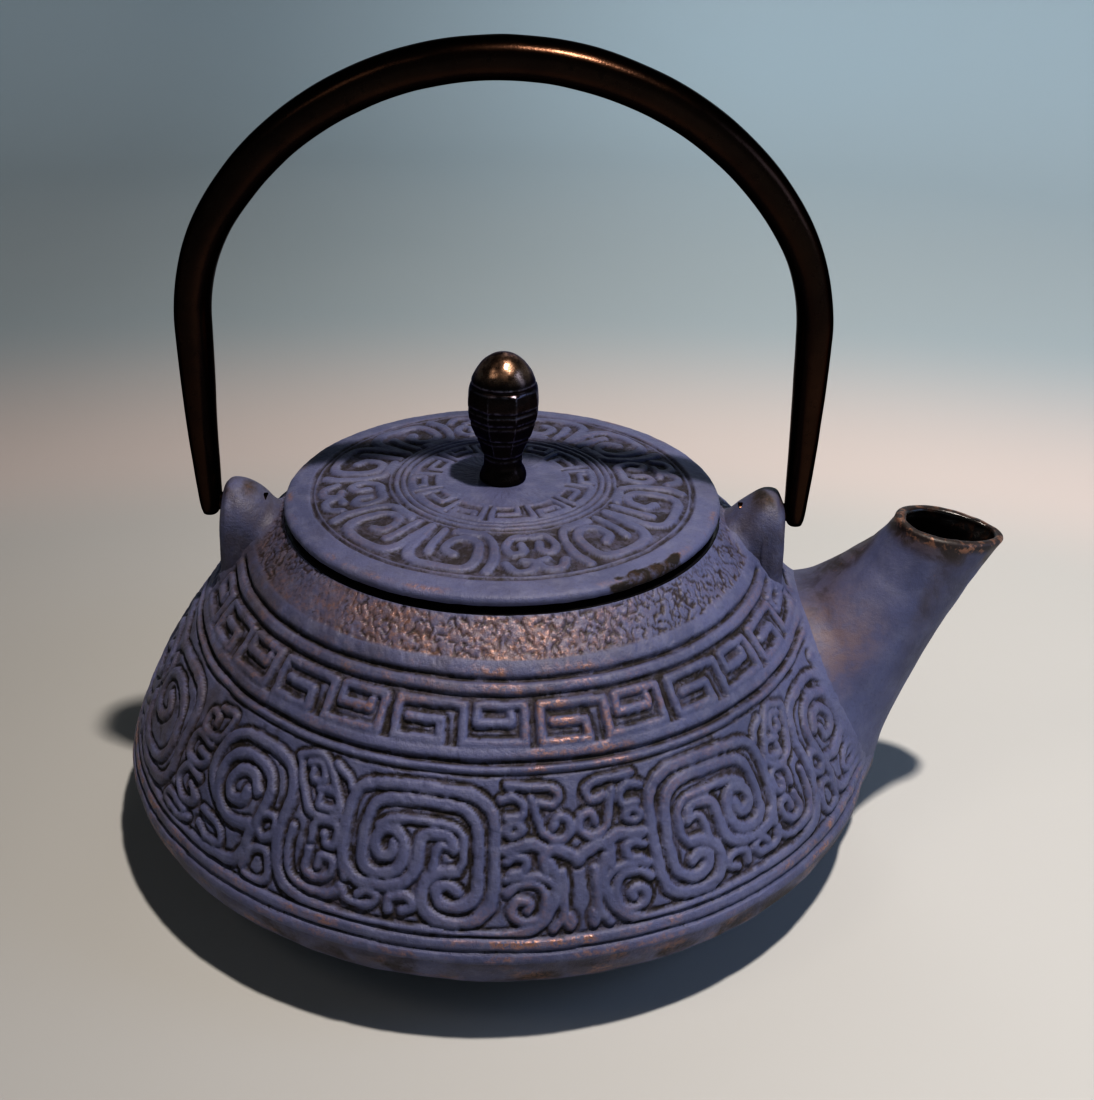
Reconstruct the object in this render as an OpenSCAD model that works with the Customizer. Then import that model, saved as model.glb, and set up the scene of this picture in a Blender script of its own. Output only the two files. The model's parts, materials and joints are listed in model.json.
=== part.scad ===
// Cast iron teapot with a bail handle, a lift-off lid and a lift-out
// tea infuser basket. Millimetres, +Z up, +X towards the spout.
// The origin is on the pot's axis, on the surface it stands on.

/* [Pot] */
// Radius of the belly at its low rim
belly_r = 82.5; // [80:0.5:84]
// Height of the low rim over the table
belly_z = 20; // [18:0.5:21]
// Radius of the shoulder where it ends at the mouth
mouth_r = 46.4; // [46:0.1:47]
// Height of the mouth's top face
mouth_z = 72.9; // [72.9:0.1:73]
// Horizontal thickness of the shoulder wall
wall_t = 4.2; // [3.6:0.1:4.6]
// Outer radius of the foot ring
foot_r = 47; // [44:0.5:50]
// Inner radius of the seat that carries the infuser
seat_r = 40.9; // [40.9:0.1:41.2]
// Radius of the hole through the mouth
neck_r = 36.8; // [36.5:0.1:37]

/* [Spout] */
// Thickness of the spout wall
spout_t = 3; // [2.4:0.1:3.4]
// Points round each ring of the spout
spout_seg = 32; // [24:4:40]

/* [Lid] */
// Radius of the lid's edge
lid_r = 46.3; // [45.5:0.1:46.6]
// Height of the lid's crown
lid_top = 79.7; // [79.2:0.1:80]
// Largest radius of the knob
knob_r = 7.5; // [7:0.1:8.5]
// Height of the knob over the table
knob_top = 108; // [104:0.5:109]

/* [Handle] */
// Half of the distance between the handle's two legs, on their centre lines
bow_half = 62.9; // [62.9:0.1:63]
// Height of the handle's top over the table
bow_top = 169.3; // [167:0.1:172]
// Radius of the bend at each shoulder of the handle
bow_bend = 42; // [38:0.5:44]
// Radial thickness of the handle bar
bar_t = 7; // [6:0.1:7]
// Width of the handle bar, front to back
bar_w = 11; // [9:0.5:12]
// Height of the handle's pivot
pivot_z = 73; // [73:0.1:73.4]
// Radius of each pivot peg
peg_r = 1.9; // [1.6:0.1:2]
// Clearance round each peg in its lug
peg_gap = 0.05; // [0.03:0.01:0.1]

/* [Lugs] */
// Width of each lug, front to back
lug_w = 16; // [14:0.5:18]
// Distance of each lug's outer face from the pot's axis
lug_x = 60; // [59.6:0.1:60]
// Height of the top of each lug
lug_top = 78.2; // [77.6:0.1:79]

/* [Infuser] */
// Outer radius of the basket's mesh wall
basket_r = 35.3; // [34.6:0.1:35.3]
// Height of the underside of the basket
basket_z = 26.4; // [22:0.2:34]
// Thickness of the mesh
mesh_t = 0.5; // [0.4:0.05:0.5]
// Thickness of the rim's sheet
sheet_t = 0.6; // [0.5:0.05:0.7]

/* [Hidden] */
$fn = 128;

iron_blue = [0.42, 0.45, 0.60];
iron_black = [0.07, 0.07, 0.08];
steel = [0.74, 0.75, 0.76];
mesh_steel = [0.62, 0.64, 0.66];

foot_h = 3;
floor_z = 6;            // inside floor
seat_z = 71.7;          // face that the infuser's flange lies on
flange_z = seat_z + 0.05;
flange_top = 72.5;
boss_z = flange_top + 0.05;
lid_low = 74.3;         // underside of the lid's overhang
skirt_z = 67.5;         // lower edge of the lid's locating skirt
lid_under = lid_top - 3.5;

// ---- curves of the casting -------------------------------------------------

// outer radius of the shoulder at height z, from the low rim to the mouth
function shoulder_r(z) =
    let (t = (z - belly_z) / (mouth_z - belly_z))
    mouth_r + (belly_r - mouth_r) * (1 - t) * (1 + 0.55 * t);

// outer radius of the underside at height z, from the foot to the low rim
function under_r(z) =
    let (t = (belly_z - z) / (belly_z - foot_h))
    foot_r + (belly_r - foot_r) * sqrt(max(0, 1 - t * t));

function skin_r(z) = z < belly_z ? under_r(z) : shoulder_r(z);

under_pts = [for (i = [0:8]) let (a = 10 * i)
    [foot_r + (belly_r - foot_r) * sin(a), belly_z - (belly_z - foot_h) * cos(a)]];
shoulder_pts = [for (i = [0:20]) let (z = belly_z + (mouth_z - belly_z) * i / 20)
    [shoulder_r(z), z]];

// the cavity follows the same two curves, one wall further in
cav_low = [for (i = [0:7]) let (a = 10 + 9 * i)
    [foot_r - 6 + (belly_r - wall_t - foot_r + 6) * sin(a),
     belly_z - (belly_z - floor_z) * cos(a)]];
cav_high = [for (i = [0:16]) let (z = belly_z + (66 - belly_z) * i / 16)
    [shoulder_r(z) - wall_t, z]];

module outer_solid() {
    rotate([0, 0, 100]) rotate_extrude()
        polygon(concat([[0, 1.5], [foot_r - 6, 1.5], [foot_r - 5, 0],
                        [foot_r - 0.6, 0], [foot_r, 0.8]],
                       under_pts, shoulder_pts, [[0, mouth_z]]));
}

module cavity() {
    rotate([0, 0, 100]) rotate_extrude()
        polygon(concat([[0, floor_z]], cav_low, cav_high,
                       [[neck_r + 3, 69], [neck_r, 69.2], [neck_r, seat_z],
                        [seat_r, seat_z], [seat_r, mouth_z + 6], [0, mouth_z + 6]]));
}

// a fine groove round the pot at height z, left out for `gap` degrees each side
// of the spout
module ring_groove(z, gap = 0, r = 0.8) {
    rotate([0, 0, gap == 0 ? 100 : gap])
        rotate_extrude(angle = 360 - 2 * gap) translate([skin_r(z) + 0.1, z])
            circle(r, $fn = 24);
}

// a thin bead round the pot at height z
module ring_bead(z, r = 0.9) {
    rotate([0, 0, 100]) rotate_extrude() translate([skin_r(z) - 0.3, z]) circle(r, $fn = 24);
}

// ---- spout: rings lofted from the belly to the pouring lip -------------------
// each row is [upper point, lower point, half width], in the pot's XZ plane
SPOUT = [
    [[54, 44], [82, 14], 24],
    [[58, 48], [85, 19.5], 23.4],
    [[61.5, 51], [87.2, 25], 22],
    [[65, 54], [89.5, 31.5], 20],
    [[68.5, 56.5], [92, 38], 17.8],
    [[72, 59], [94.6, 43.8], 15.6],
    [[75.5, 61.6], [97.4, 49.4], 13.6],
    [[78.6, 64], [99.8, 54], 12.1],
    [[81, 66.4], [102, 58.2], 11],
    [[82.9, 68.7], [104.2, 62], 10.2],
    [[84, 70.5], [106.2, 65.2], 9.6],
    [[84.4, 71.8], [108.2, 68.2], 9.2]
];

function ring_pts(u, l, b) =
    let (c = (u + l) / 2, h = (l - u) / 2)
    [for (i = [0:spout_seg - 1]) let (a = 360 * i / spout_seg)
        [c[0] + h[0] * cos(a), b * sin(a), c[1] + h[1] * cos(a)]];

// the same ring, smaller by t all round
function inset_ring(s, t) =
    let (d = (s[1] - s[0]) / norm(s[1] - s[0]))
    [s[0] + d * t, s[1] - d * t, s[2] - t];

module loft(rings) {
    n = spout_seg;
    m = len(rings);
    pts = [for (s = rings) each ring_pts(s[0], s[1], s[2])];
    sides = [for (k = [0:m - 2]) for (i = [0:n - 1])
        let (j = (i + 1) % n, a = k * n + i, b = k * n + j, c = a + n, d = b + n)
        each [[a, d, b], [a, c, d]]];
    low = [[for (i = [0:n - 1]) i]];
    high = [[for (i = [0:n - 1]) m * n - 1 - i]];
    polyhedron(points = pts, faces = concat(sides, low, high));
}

module spout_outer() { loft(SPOUT); }

module spout_inner() {
    inner = [for (s = SPOUT) inset_ring(s, spout_t)];
    last = inner[len(inner) - 1];
    // the channel runs on past the lip and flares, so the mouth is open
    loft(concat([for (i = [1:len(inner) - 2]) inner[i]],
                [[last[0] + [-0.2, 0], last[1] + [0.3, 0], last[2] + 0.3],
                 [last[0] + [-0.6, 3], last[1] + [1.4, 3], last[2] + 1]]));
}

// ---- lug: an arched ear that carries one end of the handle -------------------
module lug() {
    r = lug_w / 2;
    intersection() {
        translate([40, 0, 0]) rotate([90, 0, 90])
            linear_extrude(24) union() {
                translate([-r, 40]) square([lug_w, lug_top - r - 40]);
                translate([0, lug_top - r]) circle(r);
            }
        translate([0, 20, 0]) rotate([90, 0, 0]) linear_extrude(40)
            polygon([[47.5, 50], [lug_x, 50], [lug_x, lug_top - 3.2],
                     [lug_x - 0.3, lug_top - 2], [lug_x - 1.1, lug_top - 0.8],
                     [lug_x - 2.4, lug_top - 0.1], [lug_x - 3.6, lug_top],
                     [lug_x - 5, lug_top - 0.5], [lug_x - 7.5, lug_top - 2.3],
                     [lug_x - 10.2, lug_top - 4.6], [lug_x - 11.6, lug_top - 6],
                     [47.5, lug_top - 8]]);
    }
}

// ---- pieces ------------------------------------------------------------------

// one casting: shell, foot ring, spout and the two handle lugs
module pot_body() color(iron_blue)
    difference() {
        union() {
            difference() {
                outer_solid();
                for (z = [63.9, 61.3]) ring_groove(z);
                ring_groove(52.2, gap = 24);
            }
            for (z = [26, 22.6]) ring_bead(z);
            spout_outer();
            lug();
            mirror([1, 0, 0]) lug();
        }
        cavity();
        spout_inner();
        // the two bores that the handle's pegs turn in
        for (s = [-1, 1]) translate([s * 54, 0, pivot_z]) rotate([0, 90, 0])
            cylinder(r = peg_r + peg_gap, h = 20, center = true, $fn = 48);
    }

// shallow domed cover with a locating skirt that drops inside the basket
module lid() color(iron_blue)
    difference() {
        rotate_extrude()
            polygon([[0, lid_under], [9, lid_under], [20, lid_under - 0.2],
                     [28, lid_under - 0.8], [31.6, lid_under - 1.8],
                     [31.8, skirt_z + 0.4], [32.2, skirt_z], [33.9, skirt_z],
                     [34.3, skirt_z + 0.4], [34.3, boss_z], [40.2, boss_z],
                     [40.4, boss_z + 0.2], [40.4, lid_low], [lid_r - 0.8, lid_low],
                     [lid_r - 0.1, lid_low + 0.7], [lid_r, lid_low + 1.5],
                     [lid_r - 0.3, lid_low + 2.1], [lid_r - 1.2, lid_low + 2.5],
                     [40, lid_low + 3.3], [32, lid_low + 4.1],
                     [22, lid_top - 0.5], [12, lid_top - 0.1], [7, lid_top],
                     [0, lid_top]]);
        // fine rings cut in the top
        for (p = [[40.6, lid_low + 3.3], [22.4, lid_top - 0.45], [20.2, lid_top - 0.35]])
            rotate_extrude() translate(p) circle(0.5, $fn = 24);
        translate([0, 0, 60]) cylinder(r = 2.5, h = 30, $fn = 48);
    }

// acorn knob with turned grooves, tapped from below for its stud
module lid_knob() {
    k = knob_top - lid_top;
    color(iron_black)
    difference() {
        translate([0, 0, lid_top]) rotate_extrude()
            polygon([[0, 0], [4.8, 0], [4.9, 0.05 * k], [4.3, 0.10 * k],
                     [4, 0.15 * k], [4.3, 0.22 * k], [5, 0.30 * k],
                     [knob_r * 0.80, 0.39 * k], [knob_r * 0.91, 0.47 * k],
                     [knob_r * 0.98, 0.55 * k], [knob_r, 0.62 * k],
                     [knob_r * 0.98, 0.69 * k], [knob_r * 0.90, 0.77 * k],
                     [knob_r * 0.75, 0.86 * k], [knob_r * 0.54, 0.93 * k],
                     [knob_r * 0.28, 0.98 * k], [0, k]]);
        for (p = [[knob_r * 0.90, 0.77], [knob_r + 0.1, 0.60], [knob_r * 0.93, 0.47],
                  [5.5, 0.33], [4.3, 0.19]])
            translate([0, 0, lid_top + p[1] * k])
                rotate_extrude() translate([p[0] + 0.25, 0]) circle(0.45, $fn = 24);
        translate([0, 0, lid_top - 1]) cylinder(r = 2.5, h = 13, $fn = 48);
    }
}

module knob_stud() color(steel)
    translate([0, 0, 69.8]) cylinder(r = 2.5, h = lid_top + 11.6 - 69.8, $fn = 48);

module knob_washer() color(steel)
    translate([0, 0, lid_under - 1]) difference() {
        cylinder(r = 5.5, h = 1, $fn = 64);
        translate([0, 0, -1]) cylinder(r = 2.5, h = 3, $fn = 48);
    }

module knob_nut() color(steel)
    translate([0, 0, lid_under - 5]) difference() {
        cylinder(r = 4.6, h = 4, $fn = 6);
        translate([0, 0, -1]) cylinder(r = 2.5, h = 6, $fn = 48);
    }

// section of the handle bar: a soft-cornered oval, thin in the bow's plane
bar_pts = [for (i = [0:27]) let (a = 360 * (i + 0.5) / 28, c = cos(a), d = sin(a))
    [sign(c) * pow(abs(c), 0.8) * bar_t / 2, sign(d) * pow(abs(d), 0.8) * bar_w / 2]];

module bar_section(k = 1) { polygon(bar_pts * k); }

bend_z = 112.5;
bend_x = bow_half - bow_bend;
bow_d = bow_top - bar_t / 2 - bend_z;
crown_R = (bend_x * bend_x + bow_d * bow_d - bow_bend * bow_bend)
          / (2 * (bow_d - bow_bend));
crown_z = bend_z + bow_d - crown_R;
bend_a = atan2(bend_z - crown_z, bend_x);

// a bar bent round (cx, cz) in the XZ plane, from angle a0 to a1
module bent_bar(cx, cz, R, a0, a1, k = 1) {
    translate([cx, 0, cz]) rotate([90, 0, 0]) rotate([0, 0, a0])
        rotate_extrude(angle = a1 - a0, $fn = 160) translate([R, 0]) bar_section(k);
}

// leg: the bar tapers to a flat, rounded tip with the peg's hole in it
module leg() {
    intersection() {
        translate([bow_half, 0, 60]) linear_extrude(bend_z - 59.6) bar_section(0.97);
        translate([0, 20, 0]) rotate([90, 0, 0]) linear_extrude(40)
            polygon([[bow_half - 3.5, 113], [bow_half - 2.8, 92],
                     [bow_half - 2.6, 79], [bow_half - 2.6, pivot_z - 2.6],
                     [bow_half - 1.7, pivot_z - 3.4], [bow_half + 0.1, pivot_z - 3.1],
                     [bow_half + 1.5, pivot_z - 1.6], [bow_half + 1.9, pivot_z],
                     [bow_half + 2.3, 79], [bow_half + 3.1, 92],
                     [bow_half + 3.5, 104], [bow_half + 3.5, 113]]);
        translate([50, 0, 0]) rotate([90, 0, 90]) linear_extrude(24) union() {
            translate([0, pivot_z + 0.5]) circle(4);
            polygon([[-4, pivot_z + 0.5], [4, pivot_z + 0.5], [bar_w / 2, 104],
                     [bar_w / 2, 113], [-bar_w / 2, 113], [-bar_w / 2, 104]]);
        }
    }
}

module handle_bow() color(iron_black)
    difference() {
        union() {
            bent_bar(0, crown_z, crown_R, bend_a, 180 - bend_a);
            // each bend is a hair slimmer than the crown and runs a little into it
            bent_bar(bend_x, bend_z, bow_bend, 0, bend_a + 0.6, 0.985);
            bent_bar(-bend_x, bend_z, bow_bend, 180 - bend_a - 0.6, 180, 0.985);
            leg();
            mirror([1, 0, 0]) leg();
        }
        for (s = [0, 1]) mirror([s, 0, 0]) translate([50, 0, pivot_z])
            rotate([0, 90, 0]) cylinder(r = peg_r, h = bow_half + 0.9 - 50, $fn = 48);
    }

// round peg fixed in one tip of the handle, running in the lug's bore
module peg() color(iron_black)
    translate([50.6, 0, pivot_z]) rotate([0, 90, 0])
        cylinder(r = peg_r, h = bow_half + 0.9 - 50.6, $fn = 48);

module handle_peg_right() peg();
module handle_peg_left() mirror([1, 0, 0]) peg();

collar_in = basket_r + 0.02;
collar_out = collar_in + sheet_t;

// pressed ring: flange that lies on the seat, collar that holds the mesh
module infuser_rim() color(steel)
    rotate_extrude()
        polygon([[collar_in, 64], [collar_out, 64], [collar_out, flange_z],
                 [seat_r - 0.5, flange_z], [seat_r - 0.3, flange_z + 0.2],
                 [seat_r - 0.3, flange_top - 0.2], [seat_r - 0.5, flange_top],
                 [collar_in, flange_top]]);

// straight mesh wall of the basket
module infuser_wall() color(mesh_steel)
    translate([0, 0, basket_z + sheet_t]) difference() {
        cylinder(r = basket_r, h = 71.9 - basket_z - sheet_t);
        translate([0, 0, -1]) cylinder(r = basket_r - mesh_t, h = 60);
    }

// mesh disc closing the bottom of the basket
module infuser_floor() color(mesh_steel)
    translate([0, 0, basket_z + sheet_t])
        cylinder(r = basket_r - mesh_t - 0.02, h = mesh_t);

// folded ring that joins the wall and the floor
module infuser_foot_band() color(steel)
    translate([0, 0, basket_z]) rotate_extrude()
        polygon([[basket_r - 3, 0], [collar_out - 0.3, 0], [collar_out, 0.3],
                 [collar_out, 5], [collar_in, 5], [collar_in, sheet_t],
                 [basket_r - 3, sheet_t]]);

// lapped joint of the wall sheet, behind the handle's plane
module infuser_seam() color(steel)
    translate([0, 0, basket_z + 5]) intersection() {
        difference() {
            cylinder(r = collar_in + 0.45, h = 64 - basket_z - 5);
            translate([0, 0, -1]) cylinder(r = collar_in, h = 60);
        }
        translate([-3, 30, -1]) cube([6, 10, 60]);
    }

pot_body();
lid();
lid_knob();
knob_stud();
knob_washer();
knob_nut();
handle_bow();
handle_peg_left();
handle_peg_right();
infuser_rim();
infuser_wall();
infuser_floor();
infuser_foot_band();
infuser_seam();
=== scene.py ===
import json
import math

import bpy
import numpy as np
from mathutils import Matrix, Vector


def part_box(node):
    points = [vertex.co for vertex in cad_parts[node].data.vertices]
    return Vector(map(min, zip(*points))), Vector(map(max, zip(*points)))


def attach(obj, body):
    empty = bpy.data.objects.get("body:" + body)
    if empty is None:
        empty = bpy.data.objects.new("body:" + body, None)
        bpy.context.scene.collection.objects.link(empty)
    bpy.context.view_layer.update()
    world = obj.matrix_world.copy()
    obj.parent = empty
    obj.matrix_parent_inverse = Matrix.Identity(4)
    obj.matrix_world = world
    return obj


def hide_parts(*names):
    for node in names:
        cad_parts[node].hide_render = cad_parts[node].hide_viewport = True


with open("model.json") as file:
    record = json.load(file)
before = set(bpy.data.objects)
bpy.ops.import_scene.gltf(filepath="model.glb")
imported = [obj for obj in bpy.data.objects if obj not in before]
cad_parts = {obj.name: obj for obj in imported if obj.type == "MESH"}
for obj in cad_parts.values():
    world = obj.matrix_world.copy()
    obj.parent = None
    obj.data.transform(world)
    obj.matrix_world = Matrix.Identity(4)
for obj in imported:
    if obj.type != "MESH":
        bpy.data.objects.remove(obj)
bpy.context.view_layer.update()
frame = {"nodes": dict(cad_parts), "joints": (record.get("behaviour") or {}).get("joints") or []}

NODES = frame["nodes"]
rng = np.random.default_rng(7)

# --------------------------------------------------------------------------
# sizes of the solids, in millimetres (the same frame as the CAD)
# --------------------------------------------------------------------------
MM = 1000.0


def nbox(n):
    lo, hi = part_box(n)
    return np.array(lo) * MM, np.array(hi) * MM


lid_lo, lid_hi = nbox("lid")
knob_lo, knob_hi = nbox("lid_knob")
rim_lo, rim_hi = nbox("infuser_rim")
wall_lo, wall_hi = nbox("infuser_wall")
band_lo, band_hi = nbox("infuser_foot_band")
floor_lo, floor_hi = nbox("infuser_floor")
bow_lo, bow_hi = nbox("handle_bow")

BELLY_R, BELLY_Z = 82.5, 20.0
MOUTH_R, MOUTH_Z = 46.4, 72.9
FOOT_R, FOOT_H = 47.0, 3.0
PIVOT_Z = frame["joints"][0].get("pos_m", [0, 0, 0.073])[2] * MM if frame["joints"] else 73.0
for _j in frame["joints"]:
    if _j["name"] == "handle_swing":
        PIVOT_Z = _j["pos_m"][2] * MM


def sm(x):
    x = np.clip(x, 0.0, 1.0)
    return x * x * (3 - 2 * x)


def shoulder_r(z):
    t = (z - BELLY_Z) / (MOUTH_Z - BELLY_Z)
    return MOUTH_R + (BELLY_R - MOUTH_R) * (1 - t) * (1 + 0.55 * t)


def under_r(z):
    t = np.clip((BELLY_Z - z) / (BELLY_Z - FOOT_H), 0, 1)
    return FOOT_R + (BELLY_R - FOOT_R) * np.sqrt(np.maximum(0, 1 - t * t))


# --------------------------------------------------------------------------
# mesh helpers
# --------------------------------------------------------------------------
def mesh_obj(name, V, quads=None, ngons=(), attrs=None, normals=None):
    """A mesh from arrays: V in millimetres, quads (n, 4), ngons a list of loops."""
    V = np.asarray(V, np.float64)
    loops, starts, at = [], [], 0
    if quads is not None and len(quads):
        q = np.asarray(quads, np.int32)
        loops.append(q.ravel())
        starts.append(np.arange(0, q.size, q.shape[1], dtype=np.int32))
        at = q.size
    for g in ngons:
        loops.append(np.asarray(g, np.int32))
        starts.append(np.array([at], np.int32))
        at += len(g)
    loops, starts = np.concatenate(loops), np.concatenate(starts)
    me = bpy.data.meshes.new(name)
    me.vertices.add(len(V))
    me.vertices.foreach_set("co", (V / MM).astype(np.float32).ravel())
    me.loops.add(len(loops))
    me.loops.foreach_set("vertex_index", loops)
    me.polygons.add(len(starts))
    me.polygons.foreach_set("loop_start", starts)
    me.update(calc_edges=True)
    me.validate()
    me.polygons.foreach_set("use_smooth", np.ones(len(me.polygons), bool))
    for k, a in (attrs or {}).items():
        at_ = me.attributes.new(k, "FLOAT", "POINT")
        at_.data.foreach_set("value", np.asarray(a, np.float32).ravel())
    if normals is not None:
        me.normals_split_custom_set_from_vertices(np.asarray(normals, np.float64).tolist())
    me.update()
    ob = bpy.data.objects.new(name, me)
    bpy.context.scene.collection.objects.link(ob)
    return ob


def grid_quads(nr, nc, wrap=True, flip=False):
    i = np.arange(nr - 1)[:, None]
    j = np.arange(nc if wrap else nc - 1)[None, :]
    a = i * nc + j
    b = i * nc + (j + 1) % nc
    F = np.stack([a, b, b + nc, a + nc], -1).reshape(-1, 4)
    return F[:, ::-1] if flip else F


def grid_normals(P, wrap=True, flip=False):
    """Unit normals of a grid of points (nr, nc, 3)."""
    if wrap:
        du = np.roll(P, -1, 1) - np.roll(P, 1, 1)
    else:
        du = np.gradient(P, axis=1)
    dv = np.gradient(P, axis=0)
    n = np.cross(du, dv)
    if flip:
        n = -n
    return n / np.maximum(np.linalg.norm(n, axis=-1, keepdims=True), 1e-12)


def resample(pts, step):
    """Points along a polyline at even spacing."""
    pts = np.asarray(pts, float)
    d = np.r_[0, np.cumsum(np.linalg.norm(np.diff(pts, axis=0), axis=1))]
    n = max(2, int(round(d[-1] / step)) + 1)
    t = np.linspace(0, d[-1], n)
    return np.stack([np.interp(t, d, pts[:, k]) for k in range(pts.shape[1])], 1)


def catmull(P, n=10, closed=False):
    P = np.asarray(P, float)
    if len(P) < 3:
        return P
    if closed:
        Q = np.vstack([P[-1], P, P[0], P[1]])
    else:
        Q = np.vstack([2 * P[0] - P[1], P, 2 * P[-1] - P[-2]])
    out = []
    t = np.linspace(0, 1, n, endpoint=False)[:, None]
    for k in range(1, len(Q) - 2):
        a, b, c, d = Q[k - 1], Q[k], Q[k + 1], Q[k + 2]
        out.append(0.5 * (2 * b + (c - a) * t + (2 * a - 5 * b + 4 * c - d) * t ** 2
                          + (3 * b - a - 3 * c + d) * t ** 3))
    out = np.vstack(out)
    if not closed:
        out = np.vstack([out, P[-1:]])
    else:
        out = np.vstack([out, out[:1]])
    return out


def revolve(name, prof, nc, close_top=False, close_bottom=False, flip=False, attrs=None):
    """A surface of revolution from (r, z) points. flip turns the normals over."""
    prof = np.asarray(prof, float)
    th = np.linspace(0, 2 * np.pi, nc, endpoint=False)
    P = np.stack([prof[:, :1] * np.cos(th), prof[:, :1] * np.sin(th),
                  np.repeat(prof[:, 1:2], nc, 1)], -1)
    ng = []
    if close_top:
        ng.append(list(range(nc)) if not flip else list(range(nc))[::-1])
    if close_bottom:
        b = (len(prof) - 1) * nc
        ng.append([b + k for k in range(nc)][::-1] if not flip else [b + k for k in range(nc)])
    a = {k: np.repeat(np.asarray(v, float)[:, None], nc, 1) for k, v in (attrs or {}).items()}
    return mesh_obj(name, P.reshape(-1, 3), grid_quads(len(prof), nc, True, not flip), ng, a)


# --------------------------------------------------------------------------
# procedural noise on periodic grids (deterministic)
# --------------------------------------------------------------------------
def value_noise(nu, nv, cu, cv, seed):
    """Smooth noise on an (nv, nu) grid, periodic in u, with cu by cv cells, in -1..1."""
    r = np.random.default_rng(seed)
    g = r.uniform(-1, 1, (int(cv) + 4, int(cu)))
    u = np.linspace(0, cu, nu, endpoint=False)
    v = np.linspace(0, cv, nv) + 1
    iu, iv = np.floor(u).astype(int), np.floor(v).astype(int)
    fu, fv = u - iu, v - iv

    def w(f):
        return np.stack([(1 - f) ** 3 / 6, (3 * f ** 3 - 6 * f ** 2 + 4) / 6,
                         (-3 * f ** 3 + 3 * f ** 2 + 3 * f + 1) / 6, f ** 3 / 6])
    wu, wv = w(fu), w(fv)
    out = np.zeros((nv, nu))
    for a in range(4):
        row = np.clip(iv - 1 + a, 0, g.shape[0] - 1)
        for b in range(4):
            col = (iu - 1 + b) % int(cu)
            out += wv[a][:, None] * wu[b][None, :] * g[row][:, col]
    return out * 2.2


def blur(h, n, k=1):
    """Box blur, periodic in u."""
    for _ in range(k):
        o = np.zeros_like(h)
        for d in range(-n, n + 1):
            o += np.roll(h, d, 1)
        h = o / (2 * n + 1)
        p = np.pad(h, ((n, n), (0, 0)), mode="edge")
        o = np.zeros_like(h)
        for d in range(2 * n + 1):
            o += p[d:d + h.shape[0]]
        h = o / (2 * n + 1)
    return h


# --------------------------------------------------------------------------
# relief ornament: ridges drawn as strokes, turned into height fields
# --------------------------------------------------------------------------
class Field:
    """Distance in mm outside the nearest ridge's edge (negative on a ridge), on a flat patch w by h."""

    FAR = 3.0

    def __init__(self, w, h, res=0.15):
        self.w, self.h, self.res = w, h, res
        self.nx, self.ny = int(w / res) + 1, int(h / res) + 1
        self.x = np.linspace(0, w, self.nx)
        self.y = np.linspace(0, h, self.ny)
        self.E = np.full((self.ny, self.nx), self.FAR)

    def stroke(self, pts, half, wrap=False):
        P = np.asarray(pts, float)
        pad = half + self.FAR
        for off in ((-self.w, 0, self.w) if wrap else (0,)):
            for a, b in zip(P[:-1] + [off, 0], P[1:] + [off, 0]):
                lo, hi = np.minimum(a, b) - pad, np.maximum(a, b) + pad
                xa, xb = np.searchsorted(self.x, [lo[0], hi[0]])
                ya, yb = np.searchsorted(self.y, [lo[1], hi[1]])
                if xb <= xa or yb <= ya:
                    continue
                xs, ys = self.x[None, xa:xb], self.y[ya:yb, None]
                d = b - a
                L = max(d @ d, 1e-9)
                t = np.clip(((xs - a[0]) * d[0] + (ys - a[1]) * d[1]) / L, 0, 1)
                dd = np.hypot(xs - a[0] - t * d[0], ys - a[1] - t * d[1]) - half
                self.E[ya:yb, xa:xb] = np.minimum(self.E[ya:yb, xa:xb], dd)

    def sample(self, X, Y):
        fx = np.clip(X / self.w * (self.nx - 1), 0, self.nx - 1.001)
        fy = np.clip(Y / self.h * (self.ny - 1), 0, self.ny - 1.001)
        ix, iy = fx.astype(int), fy.astype(int)
        ax, ay = fx - ix, fy - iy
        E = self.E
        return ((E[iy, ix] * (1 - ax) + E[iy, ix + 1] * ax) * (1 - ay)
                + (E[iy + 1, ix] * (1 - ax) + E[iy + 1, ix + 1] * ax) * ay)


def relief(E, top, groove, ground, edge=0.75, gw=0.95):
    """Height of round-topped ridges with a groove beside each, on a ground that rises again further off."""
    t = np.clip(-E / edge, 0, 1)
    ridge = -0.10 + (top + 0.10) * np.sqrt(1 - (1 - t) ** 2)
    down = sm(E / (0.45 * gw))
    up = sm((E - 0.50 * gw) / (0.75 * gw))
    flat = -0.10 + (groove + 0.10) * down
    flat = flat + (ground - flat) * up
    return np.where(E < 0, ridge, flat)


# The scroll band is drawn once over a quarter turn, on a sketch grid: x runs away
# from the band's axis of symmetry in tenths of a degree, y runs down the shoulder.
# W and N are wide and narrow ridges.
W, N = 1.02, 0.72
HOOK = [
    (W, [(158, 460), (167, 415), (169, 350), (165, 310), (148, 288), (108, 278), (53, 274),
         (-3, 276), (-35, 292), (-51, 325), (-54, 400), (-52, 470), (-38, 500), (-8, 515),
         (27, 511), (44, 490), (45, 455), (28, 431), (2, 424)]),
    (W, [(137, 425), (139, 365), (130, 322), (108, 306), (53, 300), (3, 303), (-22, 325),
         (-31, 365), (-32, 435), (-25, 470), (-3, 487), (20, 480), (27, 460), (13, 450), (-1, 458)]),
    (W, [(158, 440), (145, 458), (112, 463), (73, 453), (58, 425), (56, 390), (52, 366),
         (33, 355), (13, 360), (5, 382)]),
    (W, [(138, 420), (127, 438), (103, 441), (83, 428), (76, 400), (80, 376), (94, 359),
         (113, 364), (121, 387), (111, 407), (95, 403), (93, 386)]),
    (N, [(118, 356), (98, 342), (53, 337), (13, 340), (-7, 356), (-10, 400), (-4, 418)]),
    (N, [(33, 425), (30, 392), (22, 378), (10, 381)]),
]
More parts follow.
